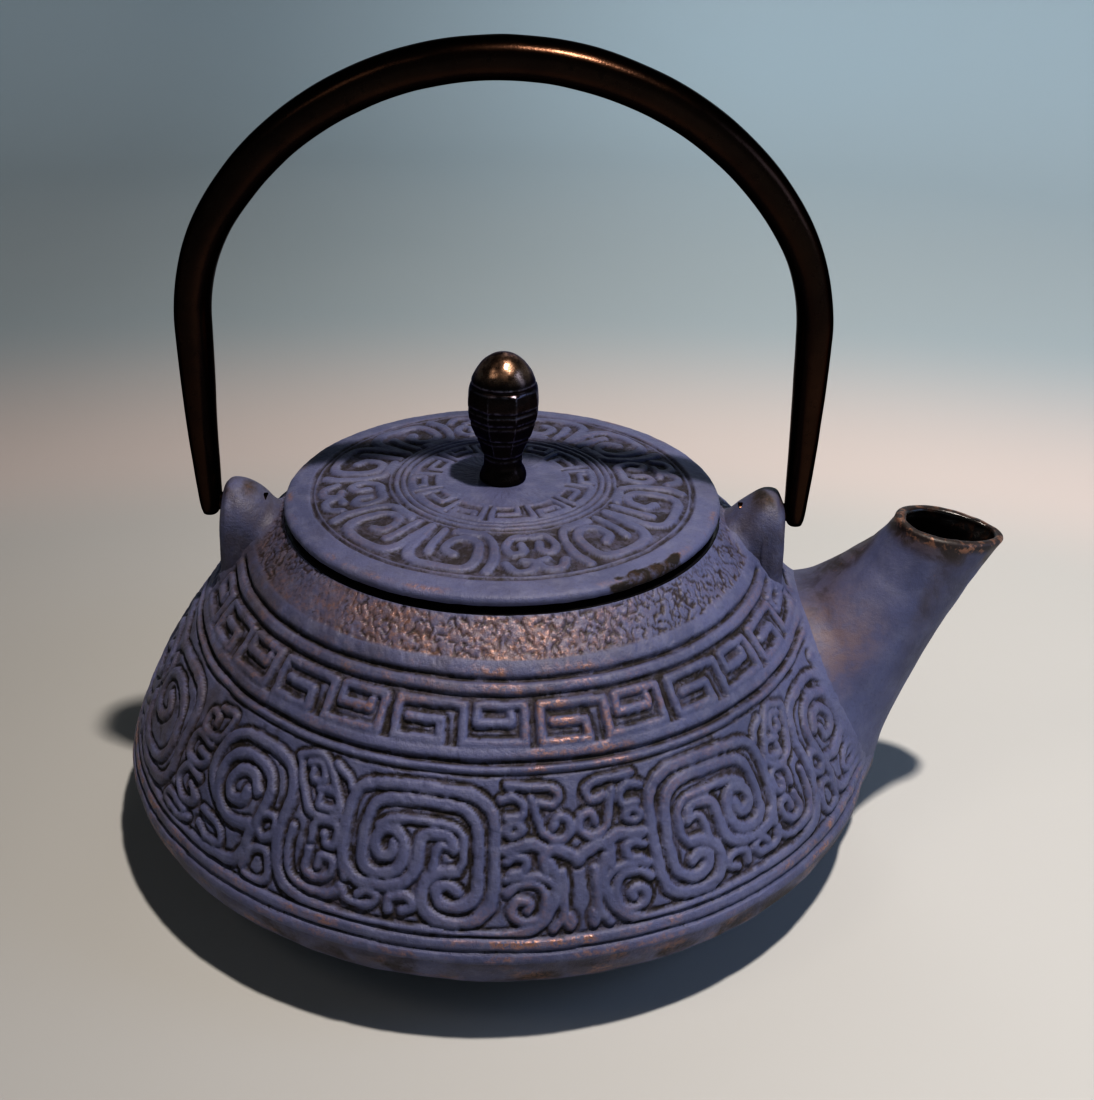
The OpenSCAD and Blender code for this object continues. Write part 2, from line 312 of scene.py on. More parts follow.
# columns of curls and the frame that runs under the hook and up its outer side
FRAME_L = [
    (W, [(266, 355), (270, 400), (269, 450), (262, 490), (240, 520), (190, 532), (80, 537),
         (-40, 540), (-90, 535), (-120, 512), (-136, 475), (-141, 436), (-132, 408)]),
    (N, [(275, 275), (228, 264), (180, 350), (232, 365), (275, 275)]),
    (N, [(252, 282), (230, 278), (220, 305), (240, 308), (243, 292)]),
    (N, [(226, 322), (196, 318), (186, 345), (216, 352), (220, 334)]),
    (N, [(216, 415), (216, 385), (198, 372), (178, 380), (178, 410), (193, 415), (198, 400)]),
    (N, [(216, 435), (218, 470), (198, 480), (178, 465), (178, 440), (195, 437), (199, 457)]),
    (N, [(250, 405), (250, 455), (238, 492), (212, 505), (178, 503), (160, 490)]),
    (N, [(160, 478), (148, 500), (116, 502), (106, 485), (122, 476), (134, 488)]),
    (N, [(88, 505), (88, 482), (64, 476), (54, 494), (68, 504)]),
    (N, [(205, 268), (180, 285), (172, 300)]),
]
CENTRE = [
    (W, [(28, 420), (31, 395), (16, 382), (-4, 392), (-16, 404)]),
    (N, [(48, 290), (38, 330), (30, 355), (8, 366), (-10, 352), (-7, 330), (10, 326), (16, 343)]),
    (N, [(84, 266), (50, 268), (20, 271), (6, 285), (14, 303), (34, 298)]),
    (N, [(94, 290), (74, 286), (60, 300), (62, 320), (84, 320)]),
    (N, [(86, 343), (74, 332), (62, 343), (74, 354), (86, 346)]),
    (W, [(84, 380), (50, 372), (32, 380)]),
    (N, [(84, 402), (70, 393), (55, 400), (60, 420), (78, 426)]),
    (N, [(84, 462), (68, 446), (44, 446), (32, 470), (38, 505), (62, 512), (76, 496), (70, 476),
         (53, 480), (56, 494)]),
    (N, [(84, 436), (58, 431), (32, 436), (18, 452)]),
    (N, [(5, 425), (6, 470), (8, 505), (22, 530)]),
    (N, [(0, 505), (3, 520), (0, 527), (-3, 520), (0, 505)]),
]
# second scroll, beyond the frame's upright
SCROLL2 = [
    (W, [(578, 430), (606, 390), (603, 330), (568, 290), (508, 282), (458, 300), (440, 350),
         (442, 400)]),
    (W, [(498, 440), (538, 450), (573, 430), (585, 390), (578, 345), (538, 318), (498, 325),
         (478, 360), (483, 420), (493, 460), (498, 495), (520, 522), (580, 534), (690, 537),
         (820, 538), (900, 538)]),
    (W, [(500, 375), (518, 350), (545, 355), (560, 385), (548, 410), (523, 405), (520, 385)]),
    (N, [(483, 412), (458, 402), (450, 430), (468, 450), (483, 436)]),
    (N, [(493, 518), (483, 480), (458, 472), (448, 510), (463, 533), (488, 528)]),
    (N, [(648, 280), (608, 276), (623, 330), (668, 336), (672, 300), (650, 296), (646, 314)]),
    (N, [(632, 352), (678, 352), (680, 402), (640, 402), (628, 380), (655, 376)]),
    (N, [(628, 425), (668, 420), (680, 460), (650, 482), (622, 466), (645, 448)]),
    (N, [(600, 470), (560, 478), (545, 505), (575, 515), (600, 500)]),
    (N, [(640, 500), (690, 495), (695, 515), (650, 518), (625, 508)]),
    (W, [(900, 430), (880, 470), (835, 490), (770, 480), (742, 440), (745, 380), (770, 340),
         (820, 325), (862, 345), (870, 390), (845, 420), (810, 412), (800, 385), (822, 368)]),
    (W, [(905, 300), (860, 285), (790, 280), (735, 290), (712, 330), (708, 400), (710, 460),
         (735, 505), (800, 515), (860, 505), (905, 480)]),
    (N, [(900, 330), (885, 350), (892, 385), (905, 395)]),
    (N, [(905, 505), (885, 515), (892, 526), (905, 524)]),
]


def sketch_to_mm(pts, flip=1):
    """Sketch units to millimetres on the unrolled band (u from the axis, v down it)."""
    P = np.asarray(pts, float)
    return np.stack([P[:, 0] * flip * 0.1 * 1.31, (P[:, 1] - 250) * 0.1], 1)


def scroll_field():
    F = Field(90 * 1.31, 29.5)
    for half, pts in HOOK:
        P = np.asarray(pts, float) + [170, 0]       # the hook sits 17 to 34 degrees off the axis
        F.stroke(catmull(sketch_to_mm(P)), half)
    for half, pts in FRAME_L:
        P = np.asarray(pts, float) + [172, 0]
        F.stroke(catmull(sketch_to_mm(P)) if len(pts) > 2 else sketch_to_mm(P), half)
    for half, pts in CENTRE:
        P = np.asarray(pts, float) + [16, 0]
        F.stroke(catmull(sketch_to_mm(P)), half)
    for half, pts in SCROLL2:
        F.stroke(catmull(sketch_to_mm(pts)), half)
    return F


def fret_field(pair_w, h, half):
    """One pair of square spirals: a single ridge that turns in, out and in again."""
    F = Field(pair_w, h, 0.1)
    kx, ky = pair_w / 257.0, h / 70.0
    P = [(31, 34), (90, 34), (93, 64), (12, 64), (9, 35), (11, 8), (100, 7), (130, 9), (131, 40),
         (131, 65), (160, 65), (238, 64), (239, 35), (238, 8), (160, 7), (153, 9), (154, 34),
         (214, 34), (215, 22)]
    F.stroke(np.asarray(P, float) * [kx, ky], half, wrap=True)
    return F


# --------------------------------------------------------------------------
# spout: the CAD's rings, smoothly interpolated
# --------------------------------------------------------------------------
SPOUT = np.array([
    [54, 44, 82, 14, 24], [58, 48, 85, 19.5, 23.4], [61.5, 51, 87.2, 25, 22],
    [65, 54, 89.5, 31.5, 20], [68.5, 56.5, 92, 38, 17.8], [72, 59, 94.6, 43.8, 15.6],
    [75.5, 61.6, 97.4, 49.4, 13.6], [78.6, 64, 99.8, 54, 12.1], [81, 66.4, 102, 58.2, 11],
    [82.9, 68.7, 104.2, 62, 10.2], [84, 70.5, 106.2, 65.2, 9.6], [84.4, 71.8, 108.2, 68.2, 9.2],
])
SP = catmull(SPOUT, 6)


def spout_ring(row, inset, th, tear=0.0):
    U, L, b = row[:2], row[2:4], row[4]
    c, hv = (U + L) / 2, (L - U) / 2
    hl = np.linalg.norm(hv)
    d = hv / hl
    a = hl - inset
    y = (b - inset) * np.sin(th) * (1 - tear * np.cos(th))
    return np.stack([c[0] + d[0] * a * np.cos(th), y, c[1] + d[1] * a * np.cos(th)], -1)


def spout_sdf(P):
    """Rough signed distance from points to the spout's outer skin (min over its rings)."""
    P = np.asarray(P, float)
    best = np.full(P.shape[:-1], 1e3)
    for row in SP:
        U, L, b = row[:2], row[2:4], row[4]
        c, hv = (U + L) / 2, (L - U) / 2
        a = np.linalg.norm(hv)
        d = hv / a
        n = np.array([-d[1], d[0]])
        q = P[..., [0, 2]] - c
        s, off = q @ d, q @ n
        rr = np.sqrt((s / a) ** 2 + (P[..., 1] / b) ** 2) + 1e-9
        rad = np.sqrt(s ** 2 + P[..., 1] ** 2)
        dist = rad * (1 - 1 / rr)
        dist = np.where(np.abs(off) < 1.6, dist, np.hypot(np.maximum(dist, 0), np.abs(off) - 1.6))
        best = np.minimum(best, dist)
    return best


# lug profile (x, top z) from the inner toe to the outer face
LUG_W, LUG_X, LUG_TOP = 16.0, 60.0, 78.2
LUG_TOPS = catmull([(47.4, 68.5), (48.6, 71.8), (50.2, 73.9), (52.5, 75.9), (55.0, 77.6),
                    (56.8, 78.15), (58.3, 77.9), (59.3, 77.0), (60.0, 75.2)], 6)


def lug_sdf(P):
    """Rough signed distance to the two lugs."""
    x, y, z = np.abs(P[..., 0]), np.abs(P[..., 1]), P[..., 2]
    top = np.interp(x, LUG_TOPS[:, 0], LUG_TOPS[:, 1], left=60, right=60)
    r = LUG_W / 2
    zc = top - r
    side = np.where(z > zc, np.hypot(y, z - zc) - r, y - r)
    dx = np.maximum(x - LUG_X, 47.4 - x)
    return np.where(dx > 0, np.hypot(np.maximum(side, 0), dx), np.maximum(side, dx))


def smooth_push(d, k):
    """How far a skin moves out where another body is d away, for a fillet of size k."""
    h = np.clip((k - np.maximum(d, 0)) / k, 0, 1)
    return h * h * k * 0.32


# --------------------------------------------------------------------------
# pot: relief skin
# --------------------------------------------------------------------------
NC = 1248
zs = np.linspace(MOUTH_Z, BELLY_Z, 400)
PROF = np.stack([shoulder_r(zs), zs], 1)
PROF = resample(PROF, 0.37)                       # from the mouth down to the low rim
S = np.r_[0, np.cumsum(np.linalg.norm(np.diff(PROF, axis=0), axis=1))]
NR = len(PROF)
tan = np.gradient(PROF, axis=0)
tan /= np.linalg.norm(tan, axis=1, keepdims=True)
nrm2 = np.stack([-tan[:, 1], tan[:, 0]], 1)        # outward normal in (r, z)
th = np.linspace(0, 2 * np.pi, NC, endpoint=False)
deg = np.degrees(th)
Zr = PROF[:, 1]
Zg = np.repeat(Zr[:, None], NC, 1)
Rg = np.repeat(PROF[:, :1], NC, 1)
AZ = np.repeat(deg[None, :], NR, 0)


def band(z, lo, hi, soft=0.25):
    """1 inside lo..hi on a soft edge, 0 outside."""
    return sm((z - lo) / soft + 0.5) * sm((hi - z) / soft + 0.5)


def bead(z, c, w):
    """A rounded bead of width w at height c."""
    return np.sqrt(np.clip(1 - ((z - c) / (w / 2)) ** 2, 0, 1))


wob = value_noise(NC, NR, 90, 14, 3) * 0.10       # hand-cut wobble of the rings, in mm
zw = Zg + wob
h = np.zeros((NR, NC))
BASE, TOP = -0.62, 0.36
# scroll band
sc = scroll_field()
AXIS = 270 + 12.8
u = np.abs((AZ - AXIS + 90) % 180 - 90)            # folds onto 0..90, mirrored at both ends
zl = np.interp(50.3, Zr[::-1], S[::-1])
vs = np.repeat((S - zl)[:, None], NC, 1) * (29.0 / (np.interp(25.0, Zr[::-1], S[::-1]) - zl))
jit_u = value_noise(NC, NR, 70, 10, 11) * 0.22
jit_v = value_noise(NC, NR, 70, 10, 12) * 0.22
Hs = sc.sample(u * 1.31 + jit_u, vs + jit_v)
rag = value_noise(NC, NR, int(2 * np.pi * 72 / 0.9), S[-1] / 0.85, 13)
Hs = Hs + 0.13 * rag
m_sc = band(zw, 25.0, 50.3, 0.35)
# fret band: fourteen pairs
PAIRS = 14
pw = 2 * np.pi * 59.5 / PAIRS
fr = fret_field(pw, 8.3, 0.78)
zf0, zf1 = np.interp(61.3, Zr[::-1], S[::-1]), np.interp(54.6, Zr[::-1], S[::-1])
vf = (S - zf0)[:, None] / (zf1 - zf0) * 8.3
uf = ((AZ - 270 + 17.9) % (360 / PAIRS)) / (360 / PAIRS) * pw
Hf = fr.sample(np.clip(uf + jit_u * 0.4, 0, pw), np.repeat(vf, NC, 1) + jit_v * 0.4)
m_fr = band(zw, 54.6, 61.35, 0.3)
# rings
h += m_sc * relief(Hs, 0.32, -0.58, -0.17)
h += m_fr * relief(Hf + 0.10 * rag, 0.32, -0.60, -0.30, 0.62, 0.85)
for c, w, a in ((65.6, 2.5, 0.34), (62.95, 1.9, 0.32), (53.6, 2.0, 0.34), (51.45, 1.15, 0.30),
                (23.55, 2.3, 0.42), (21.1, 2.2, 0.42)):
    h = np.where(np.abs(zw - c) < w / 2, np.maximum(h, a * bead(zw, c, w)), h)
for c, w, d in ((64.15, 0.75, 0.75), (61.75, 0.7, 0.75), (52.4, 0.8, 0.8), (50.6, 0.45, 0.55),
                (24.85, 0.55, 0.55), (22.3, 0.42, 0.4)):
    g = np.clip(1 - np.abs(zw - c) / w, 0, 1)
    h = h - d * sm(g)
# rough band under the lid: worm-like dimples
mm_u = 2 * np.pi * 49.0
n1 = value_noise(NC, NR, int(mm_u / 0.86), S[-1] / 0.84, 21)
n2 = value_noise(NC, NR, int(mm_u / 0.62), S[-1] / 0.60, 22)
n3 = value_noise(NC, NR, int(mm_u / 12), S[-1] / 6, 23)
worm = sm((0.34 - np.abs(n1 + 0.45 * n2)) / 0.22)
pits = worm * sm((n3 + 1.1) / 0.9)
m_rb = band(zw, 66.9, 72.7, 0.4)
h += m_rb * (0.05 * n2 - 0.27 * pits + 0.04 * n1)
# sand-cast skin and small casting flaws
h += 0.035 * value_noise(NC, NR, 620, 95, 31) + 0.05 * value_noise(NC, NR, 260, 40, 32)
flaw = value_noise(NC, NR, 330, 50, 33)
h -= 0.12 * sm((flaw - 0.78) / 0.2)

# the ornament dies away at the spout and the lugs
P0 = np.stack([Rg * np.cos(AZ * np.pi / 180), Rg * np.sin(AZ * np.pi / 180), Zg], -1)
near = (P0[..., 0] > 40) & (np.abs(P0[..., 1]) < 40)
dsp = np.full(Zg.shape, 50.0)
dsp[near] = spout_sdf(P0[near])
dlg = lug_sdf(P0)
fade = sm((dsp - 1.0) / 3.4) * sm((dlg - 0.5) / 1.8)
h_orn = h * fade
push = smooth_push(dsp, 6.5) + smooth_push(dlg, 3.2)
disp = h_orn + push
nrm3 = np.stack([nrm2[:, :1] * np.cos(th), nrm2[:, :1] * np.sin(th),
                 np.repeat(nrm2[:, 1:2], NC, 1)], -1)
PS = P0 + nrm3 * disp[..., None]
NS = grid_normals(PS)
if (NS[NR // 2, 0] @ nrm3[NR // 2, 0]) < 0:
    NS = -NS

hb = blur(h_orn, 3, 2)
rec = sm((-0.20 - h_orn) / 0.26)
wear_and_glint = sm((h_orn - hb - 0.07) / 0.16)
soot = sm((hb - h_orn - 0.01) / 0.25)
rough_at = m_rb * fade
pit_at = rough_at * pits
# painted warm sheen on the rough band: strongest on the front of the shoulder, faint elsewhere
front = np.exp(-((((AZ - 264 + 180) % 360) - 180) / 38.0) ** 2)
cloud = value_noise(NC, NR, 26, 6, 24)
sheen = rough_at * (0.20 + 0.80 * front) * sm((cloud + 1.6) / 1.5)
# crest wear, weighted towards the front of the shoulder, where it paints copper glints
wear_and_glint = wear_and_glint * np.where(zw > 61.5, 0.12 + 0.88 * front, np.where(zw > 51, 0.15 + 0.75 * front,
                       np.where(zw < 24.9, 1.0, 0.10 + 0.12 * front))) * sm((cloud + 0.75) / 0.8)
# painted shade: the left side turns browner and darker; painted sheen: a brown tint on the front of the upper
# shoulder; the clouds are tarnish
left_side = np.exp(-((((AZ - 205 + 180) % 360) - 180) / 34.0) ** 2)
tarnish_shade_and_sheen = sm((left_side * 0.9 + 0.35 * cloud - 0.25) / 0.7) + 0.7 * band(zw, 60.0, 67.2, 1.0) * front


def cut(mask_rows, mask_cols=None, name="", wrapcols=True):
    """A piece of the skin as an object: whole rows, or rows and a run of columns."""
    r0, r1 = mask_rows
    rows = slice(r0, r1)
    if mask_cols is None:
        P, Nn = PS[rows], NS[rows]
        A = {k: v[rows] for k, v in ATTR.items()}
        q = grid_quads(P.shape[0], NC, True, True)
        D = dsp[rows]
    else:
        c = np.arange(mask_cols[0], mask_cols[1] + 1) % NC
        P, Nn = PS[rows][:, c], NS[rows][:, c]
        A = {k: v[rows][:, c] for k, v in ATTR.items()}
        q = grid_quads(P.shape[0], len(c), False, True)
        D = dsp[rows][:, c]
    # open the wall inside the spout's channel
    keep = (D.ravel()[q] > -1.6).any(1)
    q = q[keep]
    used = np.unique(q)
    remap = -np.ones(P.shape[0] * P.shape[1], int)
    remap[used] = np.arange(len(used))
    return mesh_obj(name, P.reshape(-1, 3)[used], remap[q],
                    attrs={k: a.ravel()[used] for k, a in A.items()},
                    normals=Nn.reshape(-1, 3)[used])


ATTR = {"rec": rec, "wear_and_glint": wear_and_glint, "soot": soot, "rough": rough_at, "pit": pit_at, "sheen": sheen,
        "tarnish_shade_and_sheen": tarnish_shade_and_sheen}
i_split = int(np.searchsorted(-Zr, -52.4))
pot_upper = cut((0, i_split + 1), None, "pot_upper_relief")
pot_front = cut((i_split, NR), (NC // 2, NC), "pot_scroll_front")
pot_back = cut((i_split, NR), (0, NC // 2), "pot_scroll_back")

# underside: from the low rim round to the foot ring and its recess
a_ = np.linspace(np.pi / 2, 0, 30)
und = np.stack([FOOT_R + (BELLY_R - FOOT_R) * np.sin(a_),
                BELLY_Z - (BELLY_Z - FOOT_H) * np.cos(a_)], 1)
und = np.vstack([und, [[FOOT_R + 0.02, 1.2], [FOOT_R - 0.15, 0.45], [FOOT_R - 0.7, 0.0],
                       [FOOT_R - 4.2, 0.0], [FOOT_R - 4.8, 0.3], [FOOT_R - 5.3, 1.1],
                       [FOOT_R - 6.2, 1.5], [30, 1.55], [15, 1.5], [1.0, 1.5]]])
nu = 416
th2 = np.linspace(0, 2 * np.pi, nu, endpoint=False)
PU = np.stack([und[:, :1] * np.cos(th2), und[:, :1] * np.sin(th2), np.repeat(und[:, 1:2], nu, 1)], -1)
hu = 0.10 * value_noise(nu, len(und), 150, 14, 41) + 0.12 * value_noise(nu, len(und), 60, 8, 42)
lip = sm((PU[..., 2] - 14) / 5)
hu *= sm((PU[..., 2] - 0.05) / 2.0)
dsu = np.full(PU.shape[:2], 50.0)
nearu = (PU[..., 0] > 40) & (np.abs(PU[..., 1]) < 40)
dsu[nearu] = spout_sdf(PU[nearu])
NU = grid_normals(PU)
if (NU[2, 0] @ np.array([1, 0, 0])) < 0:
    NU = -NU
PU = PU + NU * (hu + smooth_push(dsu, 6.5))[..., None]
# the first row meets the relief skin exactly
first = np.stack([np.interp(np.r_[th2], np.r_[th, 2 * np.pi], np.r_[PS[-1, :, k], PS[-1, 0, k]])
                  for k in range(3)], -1)
PU[0] = first
zero = np.zeros(PU.shape[:2])
rimwear = np.exp(-((PU[..., 2] - 17.5) / 3.0) ** 2) * sm((value_noise(nu, len(und), 80, 12, 43) + 0.2) / 0.5)
# painted shade under the belly: a dark band just below the rim and a browner, darker underside; the copper on the
# rim edge is wear
pot_under = mesh_obj("pot_underside", PU.reshape(-1, 3), grid_quads(len(und), nu, True, True),
                     [[(len(und) - 1) * nu + k for k in range(nu)][::-1]],
                     {"rec": 0.85 * np.exp(-((PU[..., 2] - 16.5) / 2.6) ** 2) * sm((value_noise(nu, len(und), 110, 10, 44) + 0.15) / 0.4), "wear_and_glint": 0.75 * rimwear, "soot": zero, "rough": zero, "pit": zero, "sheen": zero,
                      "tarnish_shade_and_sheen": 0.70 + 0.30 * sm((PU[..., 2] - 13) / 4)})

# mouth: the land under the lid, the seat of the infuser, and the enamelled inside
cav_low = [(FOOT_R - 6 + (BELLY_R - 4.2 - FOOT_R + 6) * math.sin(math.radians(a)),
            BELLY_Z - (BELLY_Z - 6) * math.cos(math.radians(a))) for a in np.linspace(90, 10, 22)]
cav_high = [(shoulder_r(z) - 4.2, z) for z in np.linspace(66, BELLY_Z, 40)]
inner = [(MOUTH_R + 0.05, MOUTH_Z - 0.25), (MOUTH_R - 0.35, MOUTH_Z), (44.5, MOUTH_Z), (41.6, MOUTH_Z),
         (41.1, MOUTH_Z - 0.15), (40.9, MOUTH_Z - 0.45), (40.9, 71.9), (40.7, 71.72), (39, 71.7),
         (37.3, 71.7), (36.9, 71.55), (36.8, 71.2), (36.8, 69.7), (37.1, 69.25), (38, 69.05),
         (39.8, 69.0), (43, 68.5), (46.5, 67.4)] + cav_high + cav_low[1:] + [(30, 6.0), (15, 6.0), (1.0, 6.0)]
inner = np.array(inner)
ni = 288
thi = np.linspace(0, 2 * np.pi, ni, endpoint=False)
PI = np.stack([inner[:, :1] * np.cos(thi), inner[:, :1] * np.sin(thi), np.repeat(inner[:, 1:2], ni, 1)], -1)
dsi = spout_sdf(PI)
qi = grid_quads(len(inner), ni, True, True)
nin = 0.12 * value_noise(ni, len(inner), 60, 20, 51)
keep = (dsi.ravel()[qi] > -2.4).any(1) | (PI[..., 0].ravel()[qi] < 40).any(1)
PI[18:-2] += np.stack([-np.cos(thi), -np.sin(thi), 0 * thi], -1)[None] * nin[18:-2, :, None]
pot_inside = mesh_obj("pot_enamel_inside", PI.reshape(-1, 3), qi[keep],
                      [[(len(inner) - 1) * ni + k for k in range(ni)][::-1]])

# spout, outside and inside in one skin with a rolled lip
ns = 112
ths = np.linspace(0, 2 * np.pi, ns, endpoint=False)
rows, inside_at, lip_at, along = [], [], [], []
nsp = len(SP)
for k in range(nsp):
    t = k / (nsp - 1)
    rows.append(spout_ring(SP[k], 0.0, ths, 0.13 * sm((t - 0.45) / 0.5)))
    inside_at.append(0.0); lip_at.append(sm((t - 0.93) / 0.06)); along.append(t)
last = SP[-1]
axis_n = np.array([-(last[3] - last[1]), 0, (last[2] - last[0])])
axis_n = axis_n / np.linalg.norm(axis_n)
for a in np.linspace(12, 168, 9):
    f = math.radians(a)
    ins = 1.25 * (1 - math.cos(f))
    up = 0.95 * math.sin(f)
    rows.append(spout_ring(last, ins, ths, 0.13) + axis_n * up)
    inside_at.append(sm((a - 95) / 60)); lip_at.append(1.0); along.append(1.0)
for k in range(nsp - 1, 5, -1):
    t = k / (nsp - 1)
    ins = 2.5 + 0.5 * sm((nsp - 1 - k) / 6)
    rows.append(spout_ring(SP[k], ins, ths, 0.13 * sm((t - 0.45) / 0.5)))
    inside_at.append(1.0); lip_at.append(0.0); along.append(t)
PP = np.array(rows)
inside_at = np.repeat(np.array(inside_at)[:, None], ns, 1)
lip_at = np.repeat(np.array(lip_at)[:, None], ns, 1)
along = np.repeat(np.array(along)[:, None], ns, 1)
NP_ = grid_normals(PP)
if NP_[10, 0] @ np.array([1.0, 0, 0]) < 0:
    NP_ = -NP_
# fillet where the spout leaves the belly
rr = np.hypot(PP[..., 0], PP[..., 1])
zz = PP[..., 2]
skin = np.where(zz >= BELLY_Z, shoulder_r(np.clip(zz, BELLY_Z, MOUTH_Z)), under_r(zz))
slope = 0.82
dbody = np.where(inside_at > 0, 50, (rr - skin) * slope)
pushs = np.where(dbody > -2.5, smooth_push(np.maximum(dbody, 0), 6.5), 0)
nsn = 0.10 * value_noise(ns, len(PP), 26, 22, 61) + 0.05 * value_noise(ns, len(PP), 60, 60, 62)
dent = 0.22 * value_noise(ns, len(PP), 9, 9, 63) * sm((along - 0.1) / 0.2) * (1 - inside_at)
PP = PP + NP_ * (pushs + nsn + dent * 0.6 + inside_at * 0.25 * value_noise(ns, len(PP), 20, 16, 64))[..., None]
burn = (sm((along - 0.12) / 0.5) * sm((value_noise(ns, len(PP), 10, 7, 65) + 0.55) / 0.8)
        * (0.20 + 0.80 * sm((NP_[..., 2] + 0.05) / 0.55)))
burn = np.maximum(burn, sm((along - 0.80) / 0.12) * sm((value_noise(ns, len(PP), 14, 9, 66) + 0.5) / 0.6))
# painted warm sheen on the upper front of the spout near the belly
painted_warm_sheen = (0.75 * np.exp(-((along - 0.30) / 0.17) ** 2) * sm((NP_[..., 2] - 0.18) / 0.40)
        * sm((-NP_[..., 1] - 0.05) / 0.45) * (1 - inside_at))
spout = mesh_obj("pot_spout", PP.reshape(-1, 3), grid_quads(len(PP), ns, True, False),
                 attrs={"inside": inside_at, "lip": lip_at, "burn": burn, "painted_warm_sheen": painted_warm_sheen})

# lugs: arched ears lofted from the inner toe to the outer face
def lug_mesh(side):
    st, nsec = [], 40
    xs = np.r_[LUG_TOPS[:, 0]]
    tops = LUG_TOPS[:, 1]
    a = np.linspace(0, np.pi, nsec)
    for x, top in zip(xs, tops):
        f = np.clip((LUG_X - x) / 1.6, 0, 1)
        k = 1 - 0.16 * (1 - np.sqrt(1 - (1 - f) ** 2)) if x > LUG_X - 1.6 else 1.0
        toe = 0.80 + 0.20 * sm((x - 47.4) / 6)
        r = LUG_W / 2 * k * toe
        zc = top - LUG_W / 2 * toe * 1.0
        y = r * np.cos(a)
        z = zc + (top - zc) * np.sin(a)
        low = 50 + 0 * y
        sec = np.concatenate([[[x, r, 52.0]], [[x, r, (52 + zc) / 2]], np.stack([0 * y + x, y, z], 1),
                              [[x, -r, (52 + zc) / 2]], [[x, -r, 52.0]]])
        st.append(sec)
    # close the outer face by shrinking the last section
    lastsec = st[-1]
    mid = np.array([LUG_X, 0, 57.0])
    for g in (0.97, 0.9, 0.7, 0.4, 0.08):
        s = mid + (lastsec - mid) * g
        s[:, 0] = LUG_X + 0.12 * (1 - g) ** 0.5 * (1 if g > 0.9 else 0.6)
        st.append(s)
    L = np.array(st)
    nn = value_noise(L.shape[1] * 2, L.shape[0], 14, 12, 71 + side)[:, :L.shape[1]] * 0.16
    Nl = grid_normals(L, wrap=False)
    if Nl[10, L.shape[1] // 2, 2] < 0:
        Nl = -Nl
    r_ = np.hypot(L[..., 0], L[..., 1])
    sk = shoulder_r(np.clip(L[..., 2], BELLY_Z, MOUTH_Z))
    db = (r_ - sk) * 0.82
    above = L[..., 2] > MOUTH_Z
    db = np.where(above, 10, db)
    pl = np.where(db > -2, smooth_push(np.maximum(db, 0), 3.2), 0)
    L = L + Nl * (pl + nn)[..., None]
    L[..., 0] = np.minimum(L[..., 0], LUG_X + 0.12)
    topw = sm((L[..., 2] - 75.4) / 2.4) * sm((value_noise(L.shape[1] * 2, L.shape[0], 12, 8, 75 + side)[:, :L.shape[1]] + 0.6) / 0.8)
    V = L.copy()
    flip = False
    if side < 0:
        V[..., 0] *= -1
        flip = True
    q = grid_quads(L.shape[0], L.shape[1], False, flip)
    return mesh_obj("pot_lug_right" if side > 0 else "pot_lug_left", V.reshape(-1, 3), q,
                    attrs={"rec": 0.80 * topw, "wear_and_glint": 0.30 * topw, "soot": 0 * topw, "rough": 0 * topw, "pit": 0 * topw,
                           "sheen": 0 * topw, "tarnish_shade_and_sheen": 0.9 + 0.9 * topw})


lug_r, lug_l = lug_mesh(1), lug_mesh(-1)

# --------------------------------------------------------------------------
# lid: relief top, plain underside
# --------------------------------------------------------------------------
LR, LT, LL = lid_hi[0], lid_hi[2], 74.3
lid_prof = catmull([(0.6, LT), (7, LT), (12, LT - 0.1), (22, LT - 0.5), (32, LL + 4.1), (40, LL + 3.3),
                    (43.6, LL + 2.75), (LR - 1.3, LL + 2.45), (LR - 0.45, LL + 2.1), (LR - 0.05, LL + 1.5),
                    (LR - 0.1, LL + 0.75), (LR - 0.5, LL + 0.2), (LR - 1.1, LL)], 14)
lid_prof = resample(lid_prof, 0.36)
nl, NL = 720, len(lid_prof)
tl = np.linspace(0, 2 * np.pi, nl, endpoint=False)
RL = np.repeat(lid_prof[:, :1], nl, 1)
AL = np.repeat(np.degrees(tl)[None, :], NL, 0)
wl = value_noise(nl, NL, 50, 12, 81) * 0.10
rw = RL + wl
# scroll ring of the lid: the hook, mirrored eight times
LID_UNIT = 45.0
lf = Field(LID_UNIT, 15.5, 0.08)
LID_STROKES = [
    (1.02, [(44.6, 14.2), (43.6, 9.0), (42.6, 4.6), (38.5, 2.2), (29, 1.9), (22.0, 2.6), (19.4, 6.0),
            (20.2, 10.6), (24.6, 12.6), (30.2, 11.8), (31.6, 8.2), (27.8, 6.6)]),
    (0.95, [(37.6, 14.2), (37.4, 9.4), (36.4, 5.8)]),
    (0.95, [(15.4, 1.6), (13.6, 5.4), (14.2, 10.6), (18.0, 14.2), (27, 14.6), (32.5, 14.4)]),
    (0.90, [(1.4, 13.6), (7.2, 13.4), (9.8, 10.2), (7.2, 7.6), (3.4, 8.6), (3.8, 11.0)]),
    (0.80, [(9.8, 4.4), (6.8, 1.8), (2.4, 2.0), (0.8, 4.6), (4.2, 5.4)]),
]
kl = 32.0 * math.pi / 180                            # degrees to millimetres at mid ring
lf = Field(LID_UNIT * kl, 15.5, 0.08)
for half, pts in LID_STROKES:
    lf.stroke(catmull(np.asarray(pts, float) * [kl, 1]), half)
ul = np.abs((AL - AXIS + 45) % 90 - 45) * kl
ju, jv = value_noise(nl, NL, 60, 14, 82) * 0.14, value_noise(nl, NL, 60, 14, 83) * 0.14
Hl = lf.sample(ul + ju, np.clip(39.7 - RL, 0, 15.5) + jv)
hl = np.zeros((NL, nl))
m1 = band(rw, 24.2, 39.7, 0.3)
